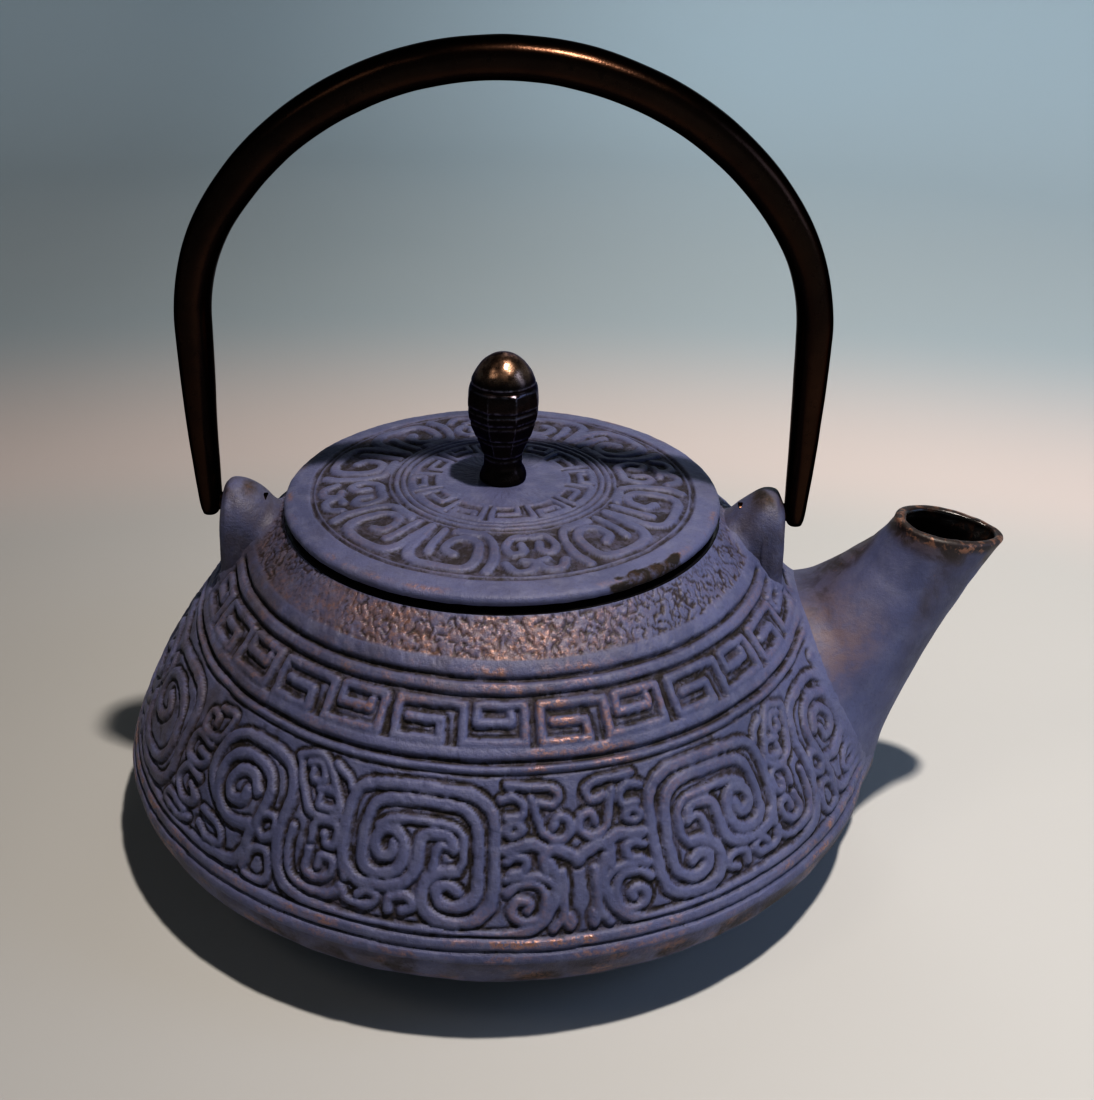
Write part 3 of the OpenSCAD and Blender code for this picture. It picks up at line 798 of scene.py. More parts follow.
hl += m1 * relief(Hl, 0.16, -0.44, -0.34, 0.50, 0.80)
LPAIRS = 6
pwl = 2 * np.pi * 16.4 / LPAIRS
lfr = fret_field(pwl, 6.2, 0.56)
ufl = ((AL - 270 + 8) % (360 / LPAIRS)) / (360 / LPAIRS) * pwl
Hfl = lfr.sample(np.clip(ufl + 0.3 * ju, 0, pwl), np.clip(19.6 - RL, 0, 6.2))
m2 = band(rw, 13.3, 19.6, 0.25)
hl += m2 * relief(Hfl, 0.13, -0.38, -0.26, 0.40, 0.62)
for c, w, d in ((40.5, 0.65, 0.55), (23.4, 0.5, 0.42), (21.9, 0.45, 0.40), (20.4, 0.45, 0.40)):
    hl -= d * sm(np.clip(1 - np.abs(rw - c) / w, 0, 1))
for c, w, a in ((22.65, 1.0, 0.14), (21.15, 1.0, 0.14)):
    hl = np.where(np.abs(rw - c) < w / 2, np.maximum(hl, a * bead(rw, c, w)), hl)
hl += 0.03 * value_noise(nl, NL, 380, 90, 84) + 0.04 * value_noise(nl, NL, 150, 40, 85)
hl *= sm((RL - 5.2) / 1.0)
tl2 = np.gradient(lid_prof, axis=0)
tl2 /= np.linalg.norm(tl2, axis=1, keepdims=True)
nl2 = np.stack([-tl2[:, 1], tl2[:, 0]], 1)
nl3 = np.stack([nl2[:, :1] * np.cos(tl), nl2[:, :1] * np.sin(tl), np.repeat(nl2[:, 1:2], nl, 1)], -1)
PL = np.stack([RL * np.cos(tl), RL * np.sin(tl), np.repeat(lid_prof[:, 1:2], nl, 1)], -1)
PL = PL + nl3 * hl[..., None]
hlb = blur(hl, 3, 2)
lrec = 0.82 * sm((-0.12 - hl) / 0.20) * sm((RL - 6) / 2)
lwear = 0.10 * sm((hl - hlb - 0.06) / 0.13)
edge_wear = np.exp(-((RL - (LR - 1.2)) / 0.6) ** 2) * sm((value_noise(nl, NL, 60, 4, 86) + 0.1) / 0.5)
# one chip of dark enamel at the front right of the edge
dch = np.hypot(((AL - 311 + 180) % 360 - 180) * 0.62, (RL - (LR - 0.7)) * 4.0)
chip = sm((7.5 - dch + 2.2 * value_noise(nl, NL, 160, 60, 87)) / 1.2)
lid_top_ob = mesh_obj("lid_relief", PL.reshape(-1, 3), grid_quads(NL, nl, True, True),
                      [list(range(nl))],
                      {"rec": np.maximum(lrec, chip * 1.6), "wear_and_glint": np.maximum(lwear, 0.5 * edge_wear) * (1 - chip),
                       "soot": 0.6 * sm((hlb - hl + 0.02) / 0.2), "rough": 0 * RL, "pit": 0 * RL, "sheen": 0 * RL,
                       "tarnish_shade_and_sheen": 0.25 * sm(value_noise(nl, NL, 24, 5, 88) / 0.5)})
lp = [(LR - 1.1, LL), (44, LL), (41, LL), (40.5, LL - 0.1), (40.4, LL - 0.4), (40.4, 72.75), (40.2, 72.55),
      (38, 72.55), (35, 72.55), (34.5, 72.4), (34.3, 72.0), (34.3, 68.2), (34.1, 67.7), (33.6, 67.5),
      (32.5, 67.5), (32.05, 67.7), (31.85, 68.2), (31.75, 73.6), (31.3, 74.5), (30, 75.0), (28, 75.35),
      (24, 75.8), (20, 76.0), (14, 76.15), (9, 76.2), (5.2, 76.2)]
lid_under_ob = revolve("lid_underside", resample(lp, 0.7), 224, flip=False)

# --------------------------------------------------------------------------
# knob: turned acorn, eight soft flats under its cap
# --------------------------------------------------------------------------
K = knob_hi[2] - knob_lo[2]
KR = knob_hi[0]
kp = catmull([(4.55, 0.0), (4.9, 0.012), (4.92, 0.045), (4.55, 0.085), (4.12, 0.12), (4.0, 0.155), (4.2, 0.205),
              (4.8, 0.285), (KR * 0.78, 0.37), (KR * 0.90, 0.46), (KR * 0.975, 0.55), (KR, 0.62),
              (KR * 0.985, 0.69), (KR * 0.92, 0.77), (KR * 0.78, 0.855), (KR * 0.57, 0.93),
              (KR * 0.30, 0.98), (0.25, 0.9995)], 10)
kp = np.stack([kp[:, 0], kp[:, 1] * K + knob_lo[2]], 1)
kp = resample(kp, 0.17)
nk = 192
tk = np.linspace(0, 2 * np.pi, nk, endpoint=False)
tf = (kp[:, 1] - knob_lo[2]) / K
gro = np.zeros(len(kp))
for c, w, d in ((0.765, 0.016, 0.40), (0.60, 0.014, 0.26), (0.50, 0.012, 0.22), (0.36, 0.013, 0.22),
                (0.205, 0.014, 0.22)):
    gro -= d * np.exp(-((tf - c) / w) ** 2)
flat = (np.cos(np.pi / 8) / np.cos(((tk + np.pi / 8) % (np.pi / 4)) - np.pi / 8))
flat = flat / flat.mean()
fm = sm((tf - 0.20) / 0.06) * sm((0.755 - tf) / 0.02)
PK = np.zeros((len(kp), nk, 3))
rk = (kp[:, 0] + gro)[:, None] * (1 + fm[:, None] * (flat[None, :] - 1) * 0.75)
rk = rk + 0.05 * value_noise(nk, len(kp), 30, 34, 91) * sm(kp[:, 0] / 3)[:, None]
PK[..., 0], PK[..., 1] = rk * np.cos(tk), rk * np.sin(tk)
PK[..., 2] = kp[:, 1][:, None]
kw = sm((tf - 0.8) / 0.1)[:, None] * np.ones(nk)
kedge = np.zeros(len(kp))
for c in (0.765, 0.60, 0.50, 0.36, 0.205):
    kedge += np.exp(-((tf - c - 0.021) / 0.008) ** 2) + 0.5 * np.exp(-((tf - c + 0.020) / 0.007) ** 2)
kedge = np.clip(kedge, 0, 1)[:, None] * np.ones(nk)
kedge = np.maximum(kedge, 0.7 * fm[:, None] * sm((flat / flat.max() - 0.985) / 0.012)[None, :])
knob = mesh_obj("lid_knob_turned", PK.reshape(-1, 3), grid_quads(len(kp), nk, True, False),
                [list(range(nk))[::-1], [(len(kp) - 1) * nk + k for k in range(nk)]],
                {"cap": kw, "groove": np.repeat((-gro)[:, None], nk, 1), "edge": kedge})

# --------------------------------------------------------------------------
# handle: forged bow, a soft oval bar that tapers to flat eyes
# --------------------------------------------------------------------------
BH, BEND, BZ, BT, BW = 62.9, 42.0, 112.5, 7.0, 11.0
btop = bow_hi[2]
bx = BH - BEND
bd = btop - BT / 2 - BZ
CR = (bx * bx + bd * bd - BEND * BEND) / (2 * (bd - BEND))
CZ = BZ + bd - CR
ba = math.atan2(BZ - CZ, bx)
half = []
for a in np.linspace(math.pi / 2, ba, 60):
    half.append((CR * math.cos(a), CZ + CR * math.sin(a)))
for a in np.linspace(ba, 0, 44)[1:]:
    half.append((bx + BEND * math.cos(a), BZ + BEND * math.sin(a)))
leg = [(BH + 0.05, 108), (BH + 0.12, 100), (BH + 0.12, 92), (BH, 84), (BH - 0.12, 79), (BH - 0.22, 75.5),
       (BH - 0.30, 73.0), (BH - 0.25, 71.2)]
half += [tuple(p) for p in catmull([(BH, 112.5)] + leg, 6)[1:]]
half = resample(np.array(half), 1.0)
nh_ = len(half)
dist = np.r_[0, np.cumsum(np.linalg.norm(np.diff(half, axis=0), axis=1))]
full = np.vstack([half[::-1] * [-1, 1], half[1:]])
dd = np.r_[-dist[::-1], dist[1:]]
tg = np.gradient(full, axis=0)
tg /= np.linalg.norm(tg, axis=1, keepdims=True)
nn2 = np.stack([tg[:, 1], -tg[:, 0]], 1)            # outward in the bow's plane
out = np.sign((nn2 * (full - [0, 100])).sum(1))
nn2 *= out[:, None]
zc_ = full[:, 1]
# radial thickness and width along the bar
tt_ = np.interp(zc_, [69.5, 70.6, 72.0, 73.5, 79, 86, 92, 99, 106, 112.5], [1.6, 3.0, 3.9, 4.3, 4.85, 5.4, 5.8, 6.3, 6.7, 7.0]) + 0.95 * sm((zc_ - 116) / 30)
ww_ = np.interp(zc_, [69.5, 70.4, 71.6, 73.5, 79, 92, 104, 112.5], [3.2, 5.6, 7.4, 8.0, 8.4, 9.8, 10.9, 11.0])
nb = 56
tb = np.linspace(0, 2 * np.pi, nb, endpoint=False)
cx_, sx_ = np.cos(tb), np.sin(tb)
ca = np.sign(cx_) * np.abs(cx_) ** 0.80
sa = np.sign(sx_) * np.abs(sx_) ** 0.80
PB = np.zeros((len(full), nb, 3))
rad = ca[None, :] * tt_[:, None] / 2
ax_ = sa[None, :] * ww_[:, None] / 2
ham = 0.13 * value_noise(nb, len(full), 5, 46, 101) + 0.06 * value_noise(nb, len(full), 11, 90, 102)
rad = rad * (1 + ham * 0.10) + 0.35 * sm((zc_ - 120) / 30)[:, None]
PB[..., 0] = full[:, :1] + nn2[:, :1] * rad
PB[..., 2] = full[:, 1:2] + nn2[:, 1:2] * rad
PB[..., 1] = ax_ * (1 + 0.10 * ham)
capsA, capsB = PB[0].mean(0), PB[-1].mean(0)
handle = mesh_obj("handle_bow_forged", PB.reshape(-1, 3), grid_quads(len(full), nb, True, False),
                  [list(range(nb))[::-1], [(len(full) - 1) * nb + k for k in range(nb)]],
                  {"tip": np.repeat(sm((80 - zc_) / 8)[:, None], nb, 1)})

# --------------------------------------------------------------------------
# infuser: woven basket, pressed rim, folded foot band, lapped seam
# --------------------------------------------------------------------------
BR = wall_hi[0] - 0.25
z0, z1 = wall_lo[2], rim_lo[2] + 0.5
NV, NH = 160, int(round((z1 - z0) / (2 * math.pi * BR / 160)))
wr = 0.17


def tubes(paths, normals, r, sides=4, closed=False):
    """Wires: paths (m, n, 3) with side vectors (m, n, 3), as thin tubes."""
    m, n, _ = paths.shape
    t = np.gradient(paths, axis=1) if not closed else np.roll(paths, -1, 1) - np.roll(paths, 1, 1)
    t /= np.maximum(np.linalg.norm(t, axis=-1, keepdims=True), 1e-9)
    b = np.cross(t, normals)
    b /= np.maximum(np.linalg.norm(b, axis=-1, keepdims=True), 1e-9)
    a = np.linspace(0, 2 * np.pi, sides, endpoint=False) + np.pi / 4
    V = (paths[:, :, None] + r * (np.cos(a)[None, None, :, None] * normals[:, :, None]
                                  + np.sin(a)[None, None, :, None] * b[:, :, None]))
    k = n if closed else n - 1
    i = np.arange(k)[:, None]
    j = np.arange(sides)[None, :]
    q = np.stack([i * sides + j, i * sides + (j + 1) % sides,
                  ((i + 1) % n) * sides + (j + 1) % sides, ((i + 1) % n) * sides + j], -1).reshape(-1, 4)
    Q = (q[None] + (np.arange(m) * n * sides)[:, None, None]).reshape(-1, 4)
    return V.reshape(-1, 3), Q


def weave_wall():
    amp = 0.17
    a = np.arange(NV) * 2 * np.pi / NV
    zt = np.linspace(z0 + 0.2, z1, NH * 2 + 1)
    ph = np.arange(NH * 2 + 1)
    rr_ = BR + amp * np.cos(np.pi * ph[None, :] / 1 * 0.5 + np.pi * np.arange(NV)[:, None])
    cosv, sinv = np.cos(a)[:, None], np.sin(a)[:, None]
    Pv = np.stack([rr_ * cosv, rr_ * sinv, np.repeat(zt[None, :], NV, 0)], -1)
    Nv = np.stack([cosv + 0 * rr_, sinv + 0 * rr_, 0 * rr_], -1)
    V1, Q1 = tubes(Pv, Nv, wr)
    aa = np.arange(NV * 2) * np.pi / NV
    k = np.arange(NH)
    rh = BR - amp * np.cos(np.pi * np.arange(NV * 2)[None, :] * 0.5 + np.pi * k[:, None])
    Ph = np.stack([rh * np.cos(aa), rh * np.sin(aa),
                   np.repeat((z0 + 0.2 + (k + 0.5) * (z1 - z0 - 0.2) / NH)[:, None], NV * 2, 1)], -1)
    Nh = np.stack([np.cos(aa) + 0 * rh, np.sin(aa) + 0 * rh, 0 * rh], -1)
    V2, Q2 = tubes(Ph, Nh, wr, closed=True)
    return np.vstack([V1, V2]), np.vstack([Q1, Q2 + len(V1)])


def weave_floor():
    R = floor_hi[0] + 0.3
    zf = (floor_lo[2] + floor_hi[2]) / 2
    pitch, amp = 2 * math.pi * BR / 160, 0.16
    n = int(R / pitch)
    VV, QQ, at = [], [], 0
    for d in (0, 1):
        for k in range(-n, n + 1):
            c = k * pitch
            L = math.sqrt(max(R * R - c * c, 0))
            m = max(2, int(2 * L / (pitch / 2)))
            t = (np.arange(m) - (m - 1) / 2) * (pitch / 2)
            w = zf + amp * np.cos(np.pi * t / pitch + np.pi * (k + d))
            P = np.stack([t, 0 * t + c, w], -1) if d == 0 else np.stack([0 * t + c, t, w], -1)
            V, Q = tubes(P[None], np.repeat([[[0, 0, 1.0]]], m, 1), wr)
            VV.append(V); QQ.append(Q + at); at += len(V)
    return np.vstack(VV), np.vstack(QQ)


Vw, Qw = weave_wall()
mesh_wall = mesh_obj("infuser_woven_wall", Vw, Qw)
Vf, Qf = weave_floor()
mesh_floor = mesh_obj("infuser_woven_floor", Vf, Qf)
ci, co = wall_hi[0] + 0.02, band_hi[0]
fz = rim_hi[2]
rim_prof = catmull([(ci, 64.0), (ci + 0.3, 63.85), (co, 64.05), (co, 65.5), (co, 70.4), (co + 0.25, 71.3),
                    (co + 1.0, fz - 0.7), (co + 2.4, fz - 0.72), (rim_hi[0] - 0.5, fz - 0.72),
                    (rim_hi[0] - 0.08, fz - 0.55), (rim_hi[0], fz - 0.35), (rim_hi[0] - 0.1, fz - 0.12),
                    (rim_hi[0] - 0.5, fz), (co + 2.2, fz), (co + 0.9, fz - 0.03), (co + 0.1, fz - 0.25),
                    (ci + 0.1, fz - 0.8), (ci, 70.8), (ci, 65.5), (ci, 64.0)], 5)
rim_ob = revolve("infuser_pressed_rim", rim_prof, 224, flip=True)
bz = band_lo[2]
foot_prof = catmull([(32.3, bz + 0.55), (32.2, bz + 0.28), (32.4, bz), (34.5, bz), (co - 0.35, bz),
                     (co - 0.05, bz + 0.2), (co, bz + 0.6), (co, bz + 4.2), (co - 0.05, bz + 4.9),
                     (ci + 0.1, bz + 5.0), (ci, bz + 4.7), (ci, bz + 1.2), (ci - 0.3, bz + 0.62),
                     (34.0, bz + 0.58), (32.3, bz + 0.55)], 5)
foot_ob = revolve("infuser_folded_foot", foot_prof, 224, flip=True)

# spot-welded lap of the wall
su = np.linspace(-3.0, 3.0, 25)
sz = np.linspace(band_hi[2] - 0.05, rim_lo[2] + 0.05, 90)
sgrid = []
for zz_ in sz:
    r0_ = ci + 0.42
    row = []
    for s_ in su:
        aa_ = math.pi / 2 - s_ / r0_
        spot = 0.12 * math.exp(-((s_ / 0.75) ** 2) - (((zz_ - 31) % 5.5 - 2.75) / 0.75) ** 2)
        e = 0.42 * (abs(s_) / 3.0) ** 10
        row.append(((r0_ - spot - e) * math.cos(aa_), (r0_ - spot - e) * math.sin(aa_), zz_))
    sgrid.append(row)
sgrid = np.array(sgrid)
seam_ob = mesh_obj("infuser_lap_seam", sgrid.reshape(-1, 3), grid_quads(len(sz), len(su), False, True))

# --------------------------------------------------------------------------
# materials
# --------------------------------------------------------------------------
class Mat:
    def __init__(self, name):
        self.m = bpy.data.materials.new(name)
        self.m.use_nodes = True
        self.t = self.m.node_tree
        self.b = self.t.nodes["Principled BSDF"]
        self.co = self.t.nodes.new("ShaderNodeTexCoord").outputs["Object"]

    def put(self, sock, v):
        if isinstance(v, bpy.types.NodeSocket):
            self.t.links.new(v, sock)
        elif v is not None:
            sock.default_value = v
        return sock

    def noise(self, scale, detail=3.0, rough=0.55, dist=0.0, vec=None, out="Fac"):
        n = self.t.nodes.new("ShaderNodeTexNoise")
        self.put(n.inputs["Vector"], vec or self.co)
        n.inputs["Scale"].default_value = scale
        n.inputs["Detail"].default_value = detail
        n.inputs["Roughness"].default_value = rough
        n.inputs["Distortion"].default_value = dist
        return n.outputs[out]

    def voronoi(self, scale, feature="F1", out="Distance", vec=None):
        n = self.t.nodes.new("ShaderNodeTexVoronoi")
        n.feature = feature
        self.put(n.inputs["Vector"], vec or self.co)
        n.inputs["Scale"].default_value = scale
        return n.outputs[out]

    def attr(self, name):
        n = self.t.nodes.new("ShaderNodeAttribute")
        n.attribute_name = name
        return n.outputs["Fac"]

    def math(self, op, a, b=None, c=None, clamp=False):
        n = self.t.nodes.new("ShaderNodeMath")
        n.operation = op
        n.use_clamp = clamp
        for s, v in zip(n.inputs, (a, b, c)):
            self.put(s, v)
        return n.outputs[0]

    def ramp(self, v, lo, hi, a=0.0, b=1.0):
        n = self.t.nodes.new("ShaderNodeMapRange")
        n.interpolation_type = "SMOOTHSTEP"
        self.put(n.inputs["Value"], v)
        n.inputs["From Min"].default_value = lo
        n.inputs["From Max"].default_value = hi
        n.inputs["To Min"].default_value = a
        n.inputs["To Max"].default_value = b
        return n.outputs["Result"]

    def mix(self, f, a, b, mode="MIX"):
        n = self.t.nodes.new("ShaderNodeMix")
        n.data_type = "RGBA"
        n.blend_type = mode
        self.put(n.inputs[0], f)
        for s, v in ((n.inputs[6], a), (n.inputs[7], b)):
            if isinstance(v, (tuple, list)):
                v = (*v, 1.0) if len(v) == 3 else tuple(v)
            self.put(s, v)
        return n.outputs[2]

    def bump(self, hgt, strength, dist, normal=None):
        n = self.t.nodes.new("ShaderNodeBump")
        n.inputs["Strength"].default_value = strength
        n.inputs["Distance"].default_value = dist
        self.put(n.inputs["Height"], hgt)
        if normal is not None:
            self.put(n.inputs["Normal"], normal)
        return n.outputs["Normal"]

    def set(self, **kw):
        for k, v in kw.items():
            s = self.b.inputs[k.replace("_", " ")]
            if isinstance(v, tuple) and len(v) == 3 and s.type == "RGBA":
                v = (*v, 1.0)
            self.put(s, v)
        return self.m


BLUE_A, BLUE_B = (0.118, 0.125, 0.222), (0.080, 0.086, 0.158)
BROWN, BLACKISH, COPPER = (0.042, 0.023, 0.015), (0.016, 0.010, 0.007), (0.50, 0.27, 0.17)


def blue_iron(name, spout_skin=False):
    m = Mat(name)
    big, mid, fine = m.noise(38, 3, 0.6), m.noise(260, 4, 0.6), m.noise(1500, 3, 0.6)
    grain = m.noise(4200, 2, 0.5)
    col = m.mix(m.ramp(big, 0.35, 0.68), BLUE_A, BLUE_B)
    col = m.mix(m.ramp(mid, 0.42, 0.72, 0.0, 0.45), col, (0.172, 0.176, 0.258))
    col = m.mix(m.ramp(fine, 0.52, 0.72, 0.0, 0.30), col, (0.074, 0.074, 0.120))
    if spout_skin:
        # painted shade: the spout's blue is darkened as a whole
        col = m.mix(1.0, col, (0.84, 0.86, 0.88), "MULTIPLY")
        # painted warm sheen near the belly, in light copper-brown
        painted_warm_sheen = m.math("MULTIPLY", m.attr("painted_warm_sheen"), m.ramp(m.noise(260, 4, 0.62), 0.34, 0.62, 0.35, 1.0))
        col = m.mix(m.math("MULTIPLY", painted_warm_sheen, 0.75), col, (0.190, 0.112, 0.090))
        ins, lip, burn = m.attr("inside"), m.attr("lip"), m.attr("burn")
        patch = m.math("MULTIPLY", burn, m.ramp(m.noise(140, 5, 0.68, 0.6), 0.42, 0.58))
        col = m.mix(m.math("MULTIPLY", burn, 0.62), col, (0.088, 0.058, 0.047))
        col = m.mix(m.math("MULTIPLY", patch, 0.88), col, (0.030, 0.020, 0.017))
        flecks = m.math("MULTIPLY", burn, m.ramp(m.noise(900, 3, 0.6), 0.66, 0.74))
        lipw = m.math("MULTIPLY", lip, m.ramp(m.noise(480, 4, 0.6), 0.50, 0.62))
        col = m.mix(m.math("MULTIPLY", lip, 0.90), col, (0.030, 0.020, 0.017))
        copper_and_glint = m.math("MAXIMUM", m.math("MULTIPLY", flecks, 0.5), m.math("MULTIPLY", lipw, 0.75))
        copper_and_glint = m.math("MULTIPLY", copper_and_glint, m.math("SUBTRACT", 1.0, ins))
        col = m.mix(copper_and_glint, col, (0.38, 0.21, 0.145))
        rusty = m.math("MULTIPLY", m.ramp(m.noise(210, 4, 0.66), 0.50, 0.66), 0.8)
        col = m.mix(ins, col, m.mix(rusty, (0.007, 0.006, 0.006), (0.050, 0.024, 0.015)))
        rgh = m.math("ADD", 0.50, m.math("MULTIPLY", fine, 0.14))
        rgh = m.math("SUBTRACT", rgh, m.math("MULTIPLY", burn, 0.10))
        rgh = m.math("MULTIPLY", rgh, m.math("SUBTRACT", 1.0, m.math("MULTIPLY", ins, 0.66)))
        rgh = m.math("SUBTRACT", rgh, m.math("MULTIPLY", copper_and_glint, 0.12), None, True)
        met = m.math("MULTIPLY", copper_and_glint, 0.8)
        hgt = m.math("ADD", m.math("MULTIPLY", fine, 0.6), m.math("MULTIPLY", grain, 0.4))
        nb_ = m.bump(hgt, 0.32, 0.00035)
        nb_ = m.bump(m.noise(240, 3, 0.5), 0.25, 0.0006, nb_)
    else:
        dark_patina_and_shade_, wear_and_glint_, soot_, rough_ = m.attr("rec"), m.attr("wear_and_glint"), m.attr("soot"), m.attr("rough")
        pit_, sheen_, tarnish_shade_sheen_ = m.attr("pit"), m.attr("sheen"), m.attr("tarnish_shade_and_sheen")
        # brown tarnish in clouds, with painted shade on the left side and under the belly and a painted sheen tint
        # on the front shoulder
        tmask = m.math("MULTIPLY", tarnish_shade_sheen_, m.ramp(m.noise(150, 5, 0.64, 0.4), 0.36, 0.62, 0.25, 1.0))
        col = m.mix(m.math("MULTIPLY", tmask, 0.55, None, True), col, (0.078, 0.058, 0.054))
        # a thin brown wash gathers in every hollow, thick and black at the bottom; under the belly rim the same
        # mask paints shade
        wash = m.math("MULTIPLY", m.math("MAXIMUM", m.math("MULTIPLY", soot_, 0.40), dark_patina_and_shade_),
                      m.ramp(m.noise(420, 4, 0.6), 0.34, 0.60, 0.30, 1.0))
        col = m.mix(m.math("MULTIPLY", wash, 0.72, None, True), col, BROWN)
        deep = m.math("MULTIPLY", dark_patina_and_shade_, m.ramp(m.noise(190, 5, 0.70, 0.7), 0.41, 0.56, 0.08, 1.0))
        deep = m.math("MULTIPLY", deep, m.ramp(m.noise(1400, 3, 0.6), 0.30, 0.50, 0.5, 1.0))
        col = m.mix(m.math("MULTIPLY", deep, 0.96, None, True), col, BLACKISH)
        crumb = m.math("MULTIPLY", m.math("MAXIMUM", soot_, dark_patina_and_shade_), m.ramp(m.noise(1100, 4, 0.7, 0.6), 0.54, 0.60))
        crumb = m.math("MULTIPLY", crumb, m.ramp(m.noise(130, 3, 0.6), 0.40, 0.60, 0.15, 1.0))
        col = m.mix(m.math("MULTIPLY", crumb, 0.90, None, True), col, BLACKISH)
        # painted warm sheen on the front of the rough band: brown colour, then metallic copper
        painted_sheen_mask = m.math("MULTIPLY", sheen_, m.ramp(m.noise(300, 5, 0.66, 0.4), 0.36, 0.60, 0.30, 1.0))
        col = m.mix(m.math("MULTIPLY", painted_sheen_mask, 0.72, None, True), col, (0.205, 0.130, 0.112))
        speck = m.math("MULTIPLY", rough_, m.ramp(m.noise(1500, 4, 0.65, 0.8), 0.57, 0.64))
        dark_ = m.math("MAXIMUM", m.math("MULTIPLY", speck, 0.65), m.math("MULTIPLY", pit_, 0.97))
        dark_ = m.math("MULTIPLY", dark_, m.math("SUBTRACT", 1.0, m.math("MULTIPLY", painted_sheen_mask, 0.55)))
        col = m.mix(dark_, col, (0.036, 0.022, 0.018))
        # copper on worn ridge crests, plus painted glints at the front of the shoulder and on the painted sheen
        copper_and_glint = m.math("MULTIPLY", wear_and_glint_, m.ramp(m.noise(120, 4, 0.62), 0.42, 0.66))
        copper_and_glint = m.math("MULTIPLY", copper_and_glint, m.ramp(m.noise(1300, 3, 0.6), 0.36, 0.56))
        sheen_copper = m.math("MULTIPLY", painted_sheen_mask, m.ramp(m.noise(900, 4, 0.66, 0.5), 0.46, 0.64, 0.0, 0.55))
        copper_and_glint = m.math("MAXIMUM", copper_and_glint, m.math("MULTIPLY", sheen_copper, m.math("SUBTRACT", 1.0, dark_)))
        col = m.mix(m.math("MULTIPLY", copper_and_glint, 0.80, None, True), col, COPPER)
        rgh = m.math("ADD", 0.43, m.math("MULTIPLY", fine, 0.20))
        rgh = m.math("ADD", rgh, m.math("MULTIPLY", dark_patina_and_shade_, 0.16))
        rgh = m.math("SUBTRACT", rgh, m.math("MULTIPLY", copper_and_glint, 0.16))
        rgh = m.math("SUBTRACT", rgh, m.math("MULTIPLY", sheen_, 0.14), None, True)
        met = m.math("MULTIPLY", copper_and_glint, 0.95)
        hgt = m.math("ADD", m.math("MULTIPLY", fine, 0.6), m.math("MULTIPLY", grain, 0.4))
        nb_ = m.bump(hgt, 0.55, 0.00040)
        nb_ = m.bump(m.math("MULTIPLY", m.noise(700, 4, 0.7), 1.0), 0.18, 0.0005, nb_)
    m.set(Base_Color=col, Roughness=rgh, Metallic=met, Normal=nb_)
    m.b.inputs["Specular IOR Level"].default_value = 0.5
    return m.m


def black_iron(name, gloss=0.185, turned=False):
    """Black japanned iron; its sheen is warm where the coat has worn thin."""
    m = Mat(name)
    big, mid, fine = m.noise(60, 3, 0.55), m.noise(420, 4, 0.6), m.noise(2600, 3, 0.6)
    col = m.mix(m.ramp(big, 0.35, 0.7), (0.042, 0.023, 0.015), (0.026, 0.015, 0.011))
    col = m.mix(m.ramp(mid, 0.58, 0.75, 0.0, 0.5), col, (0.012, 0.008, 0.007))
    r = m.math("ADD", gloss, m.math("MULTIPLY", mid, 0.10))
    r = m.math("ADD", r, m.math("MULTIPLY", fine, 0.05))
    nb_ = m.bump(m.math("ADD", m.math("MULTIPLY", mid, 0.5), m.math("MULTIPLY", fine, 0.30)), 0.30, 0.0003)
    edge = (0.16, 0.13, 0.13)
    if turned:
        capa, edg = m.attr("cap"), m.attr("edge")
        col = m.mix(1.0, col, (0.85, 1.0, 1.35), "MULTIPLY")
        worn = m.math("MULTIPLY", capa, m.ramp(m.noise(520, 4, 0.6), 0.36, 0.54, 0.35, 1.0))
        col = m.mix(worn, col, (0.34, 0.22, 0.155))
        scr = m.math("MULTIPLY", edg, m.ramp(m.noise(900, 4, 0.6), 0.38, 0.58, 0.15, 1.0))
        col = m.mix(m.math("MULTIPLY", scr, 0.85), col, (0.23, 0.215, 0.27))
        r = m.math("ADD", r, m.math("MULTIPLY", scr, 0.20))
        edge = (0.45, 0.46, 0.60)
    else:
        nb_ = m.bump(big, 0.12, 0.0006, nb_)
    m.set(Base_Color=col, Roughness=r, Metallic=1.0, Normal=nb_)
    m.b.inputs["Specular Tint"].default_value = (*edge, 1.0)
    return m.m


def enamel(name):
    m = Mat(name)
    mid, fine = m.noise(300, 3, 0.55), m.noise(1700, 3, 0.6)
    col = m.mix(m.ramp(mid, 0.4, 0.7), (0.0065, 0.0065, 0.0072), (0.016, 0.014, 0.014))
    nb_ = m.bump(m.noise(180, 3, 0.5), 0.35, 0.0009)
    nb_ = m.bump(fine, 0.12, 0.0002, nb_)
    return m.set(Base_Color=col, Roughness=m.math("ADD", 0.14, m.math("MULTIPLY", mid, 0.14)), Normal=nb_)


def steel(name, base, rough, streak=(60, 60, 1400), turned=False):
    m = Mat(name)
    mp = m.t.nodes.new("ShaderNodeMapping")
    m.put(mp.inputs["Vector"], m.co)
    mp.inputs["Scale"].default_value = streak
    lines = m.noise(1.0, 4, 0.7, 0.0, mp.outputs[0])
    cloud, fine = m.noise(140, 3, 0.6), m.noise(3000, 2, 0.6)
    col = m.mix(m.ramp(cloud, 0.35, 0.7), base, tuple(c * 0.82 for c in base))
    col = m.mix(m.ramp(lines, 0.4, 0.7, 0.0, 0.35), col, tuple(c * 0.7 for c in base))
    r = m.math("ADD", rough, m.math("MULTIPLY", lines, 0.14))
    r = m.math("ADD", r, m.math("MULTIPLY", cloud, 0.06))
    nb_ = m.bump(m.math("ADD", lines, m.math("MULTIPLY", fine, 0.3)), 0.16, 0.00012)
    return m.set(Base_Color=col, Metallic=1.0, Roughness=r, Normal=nb_)


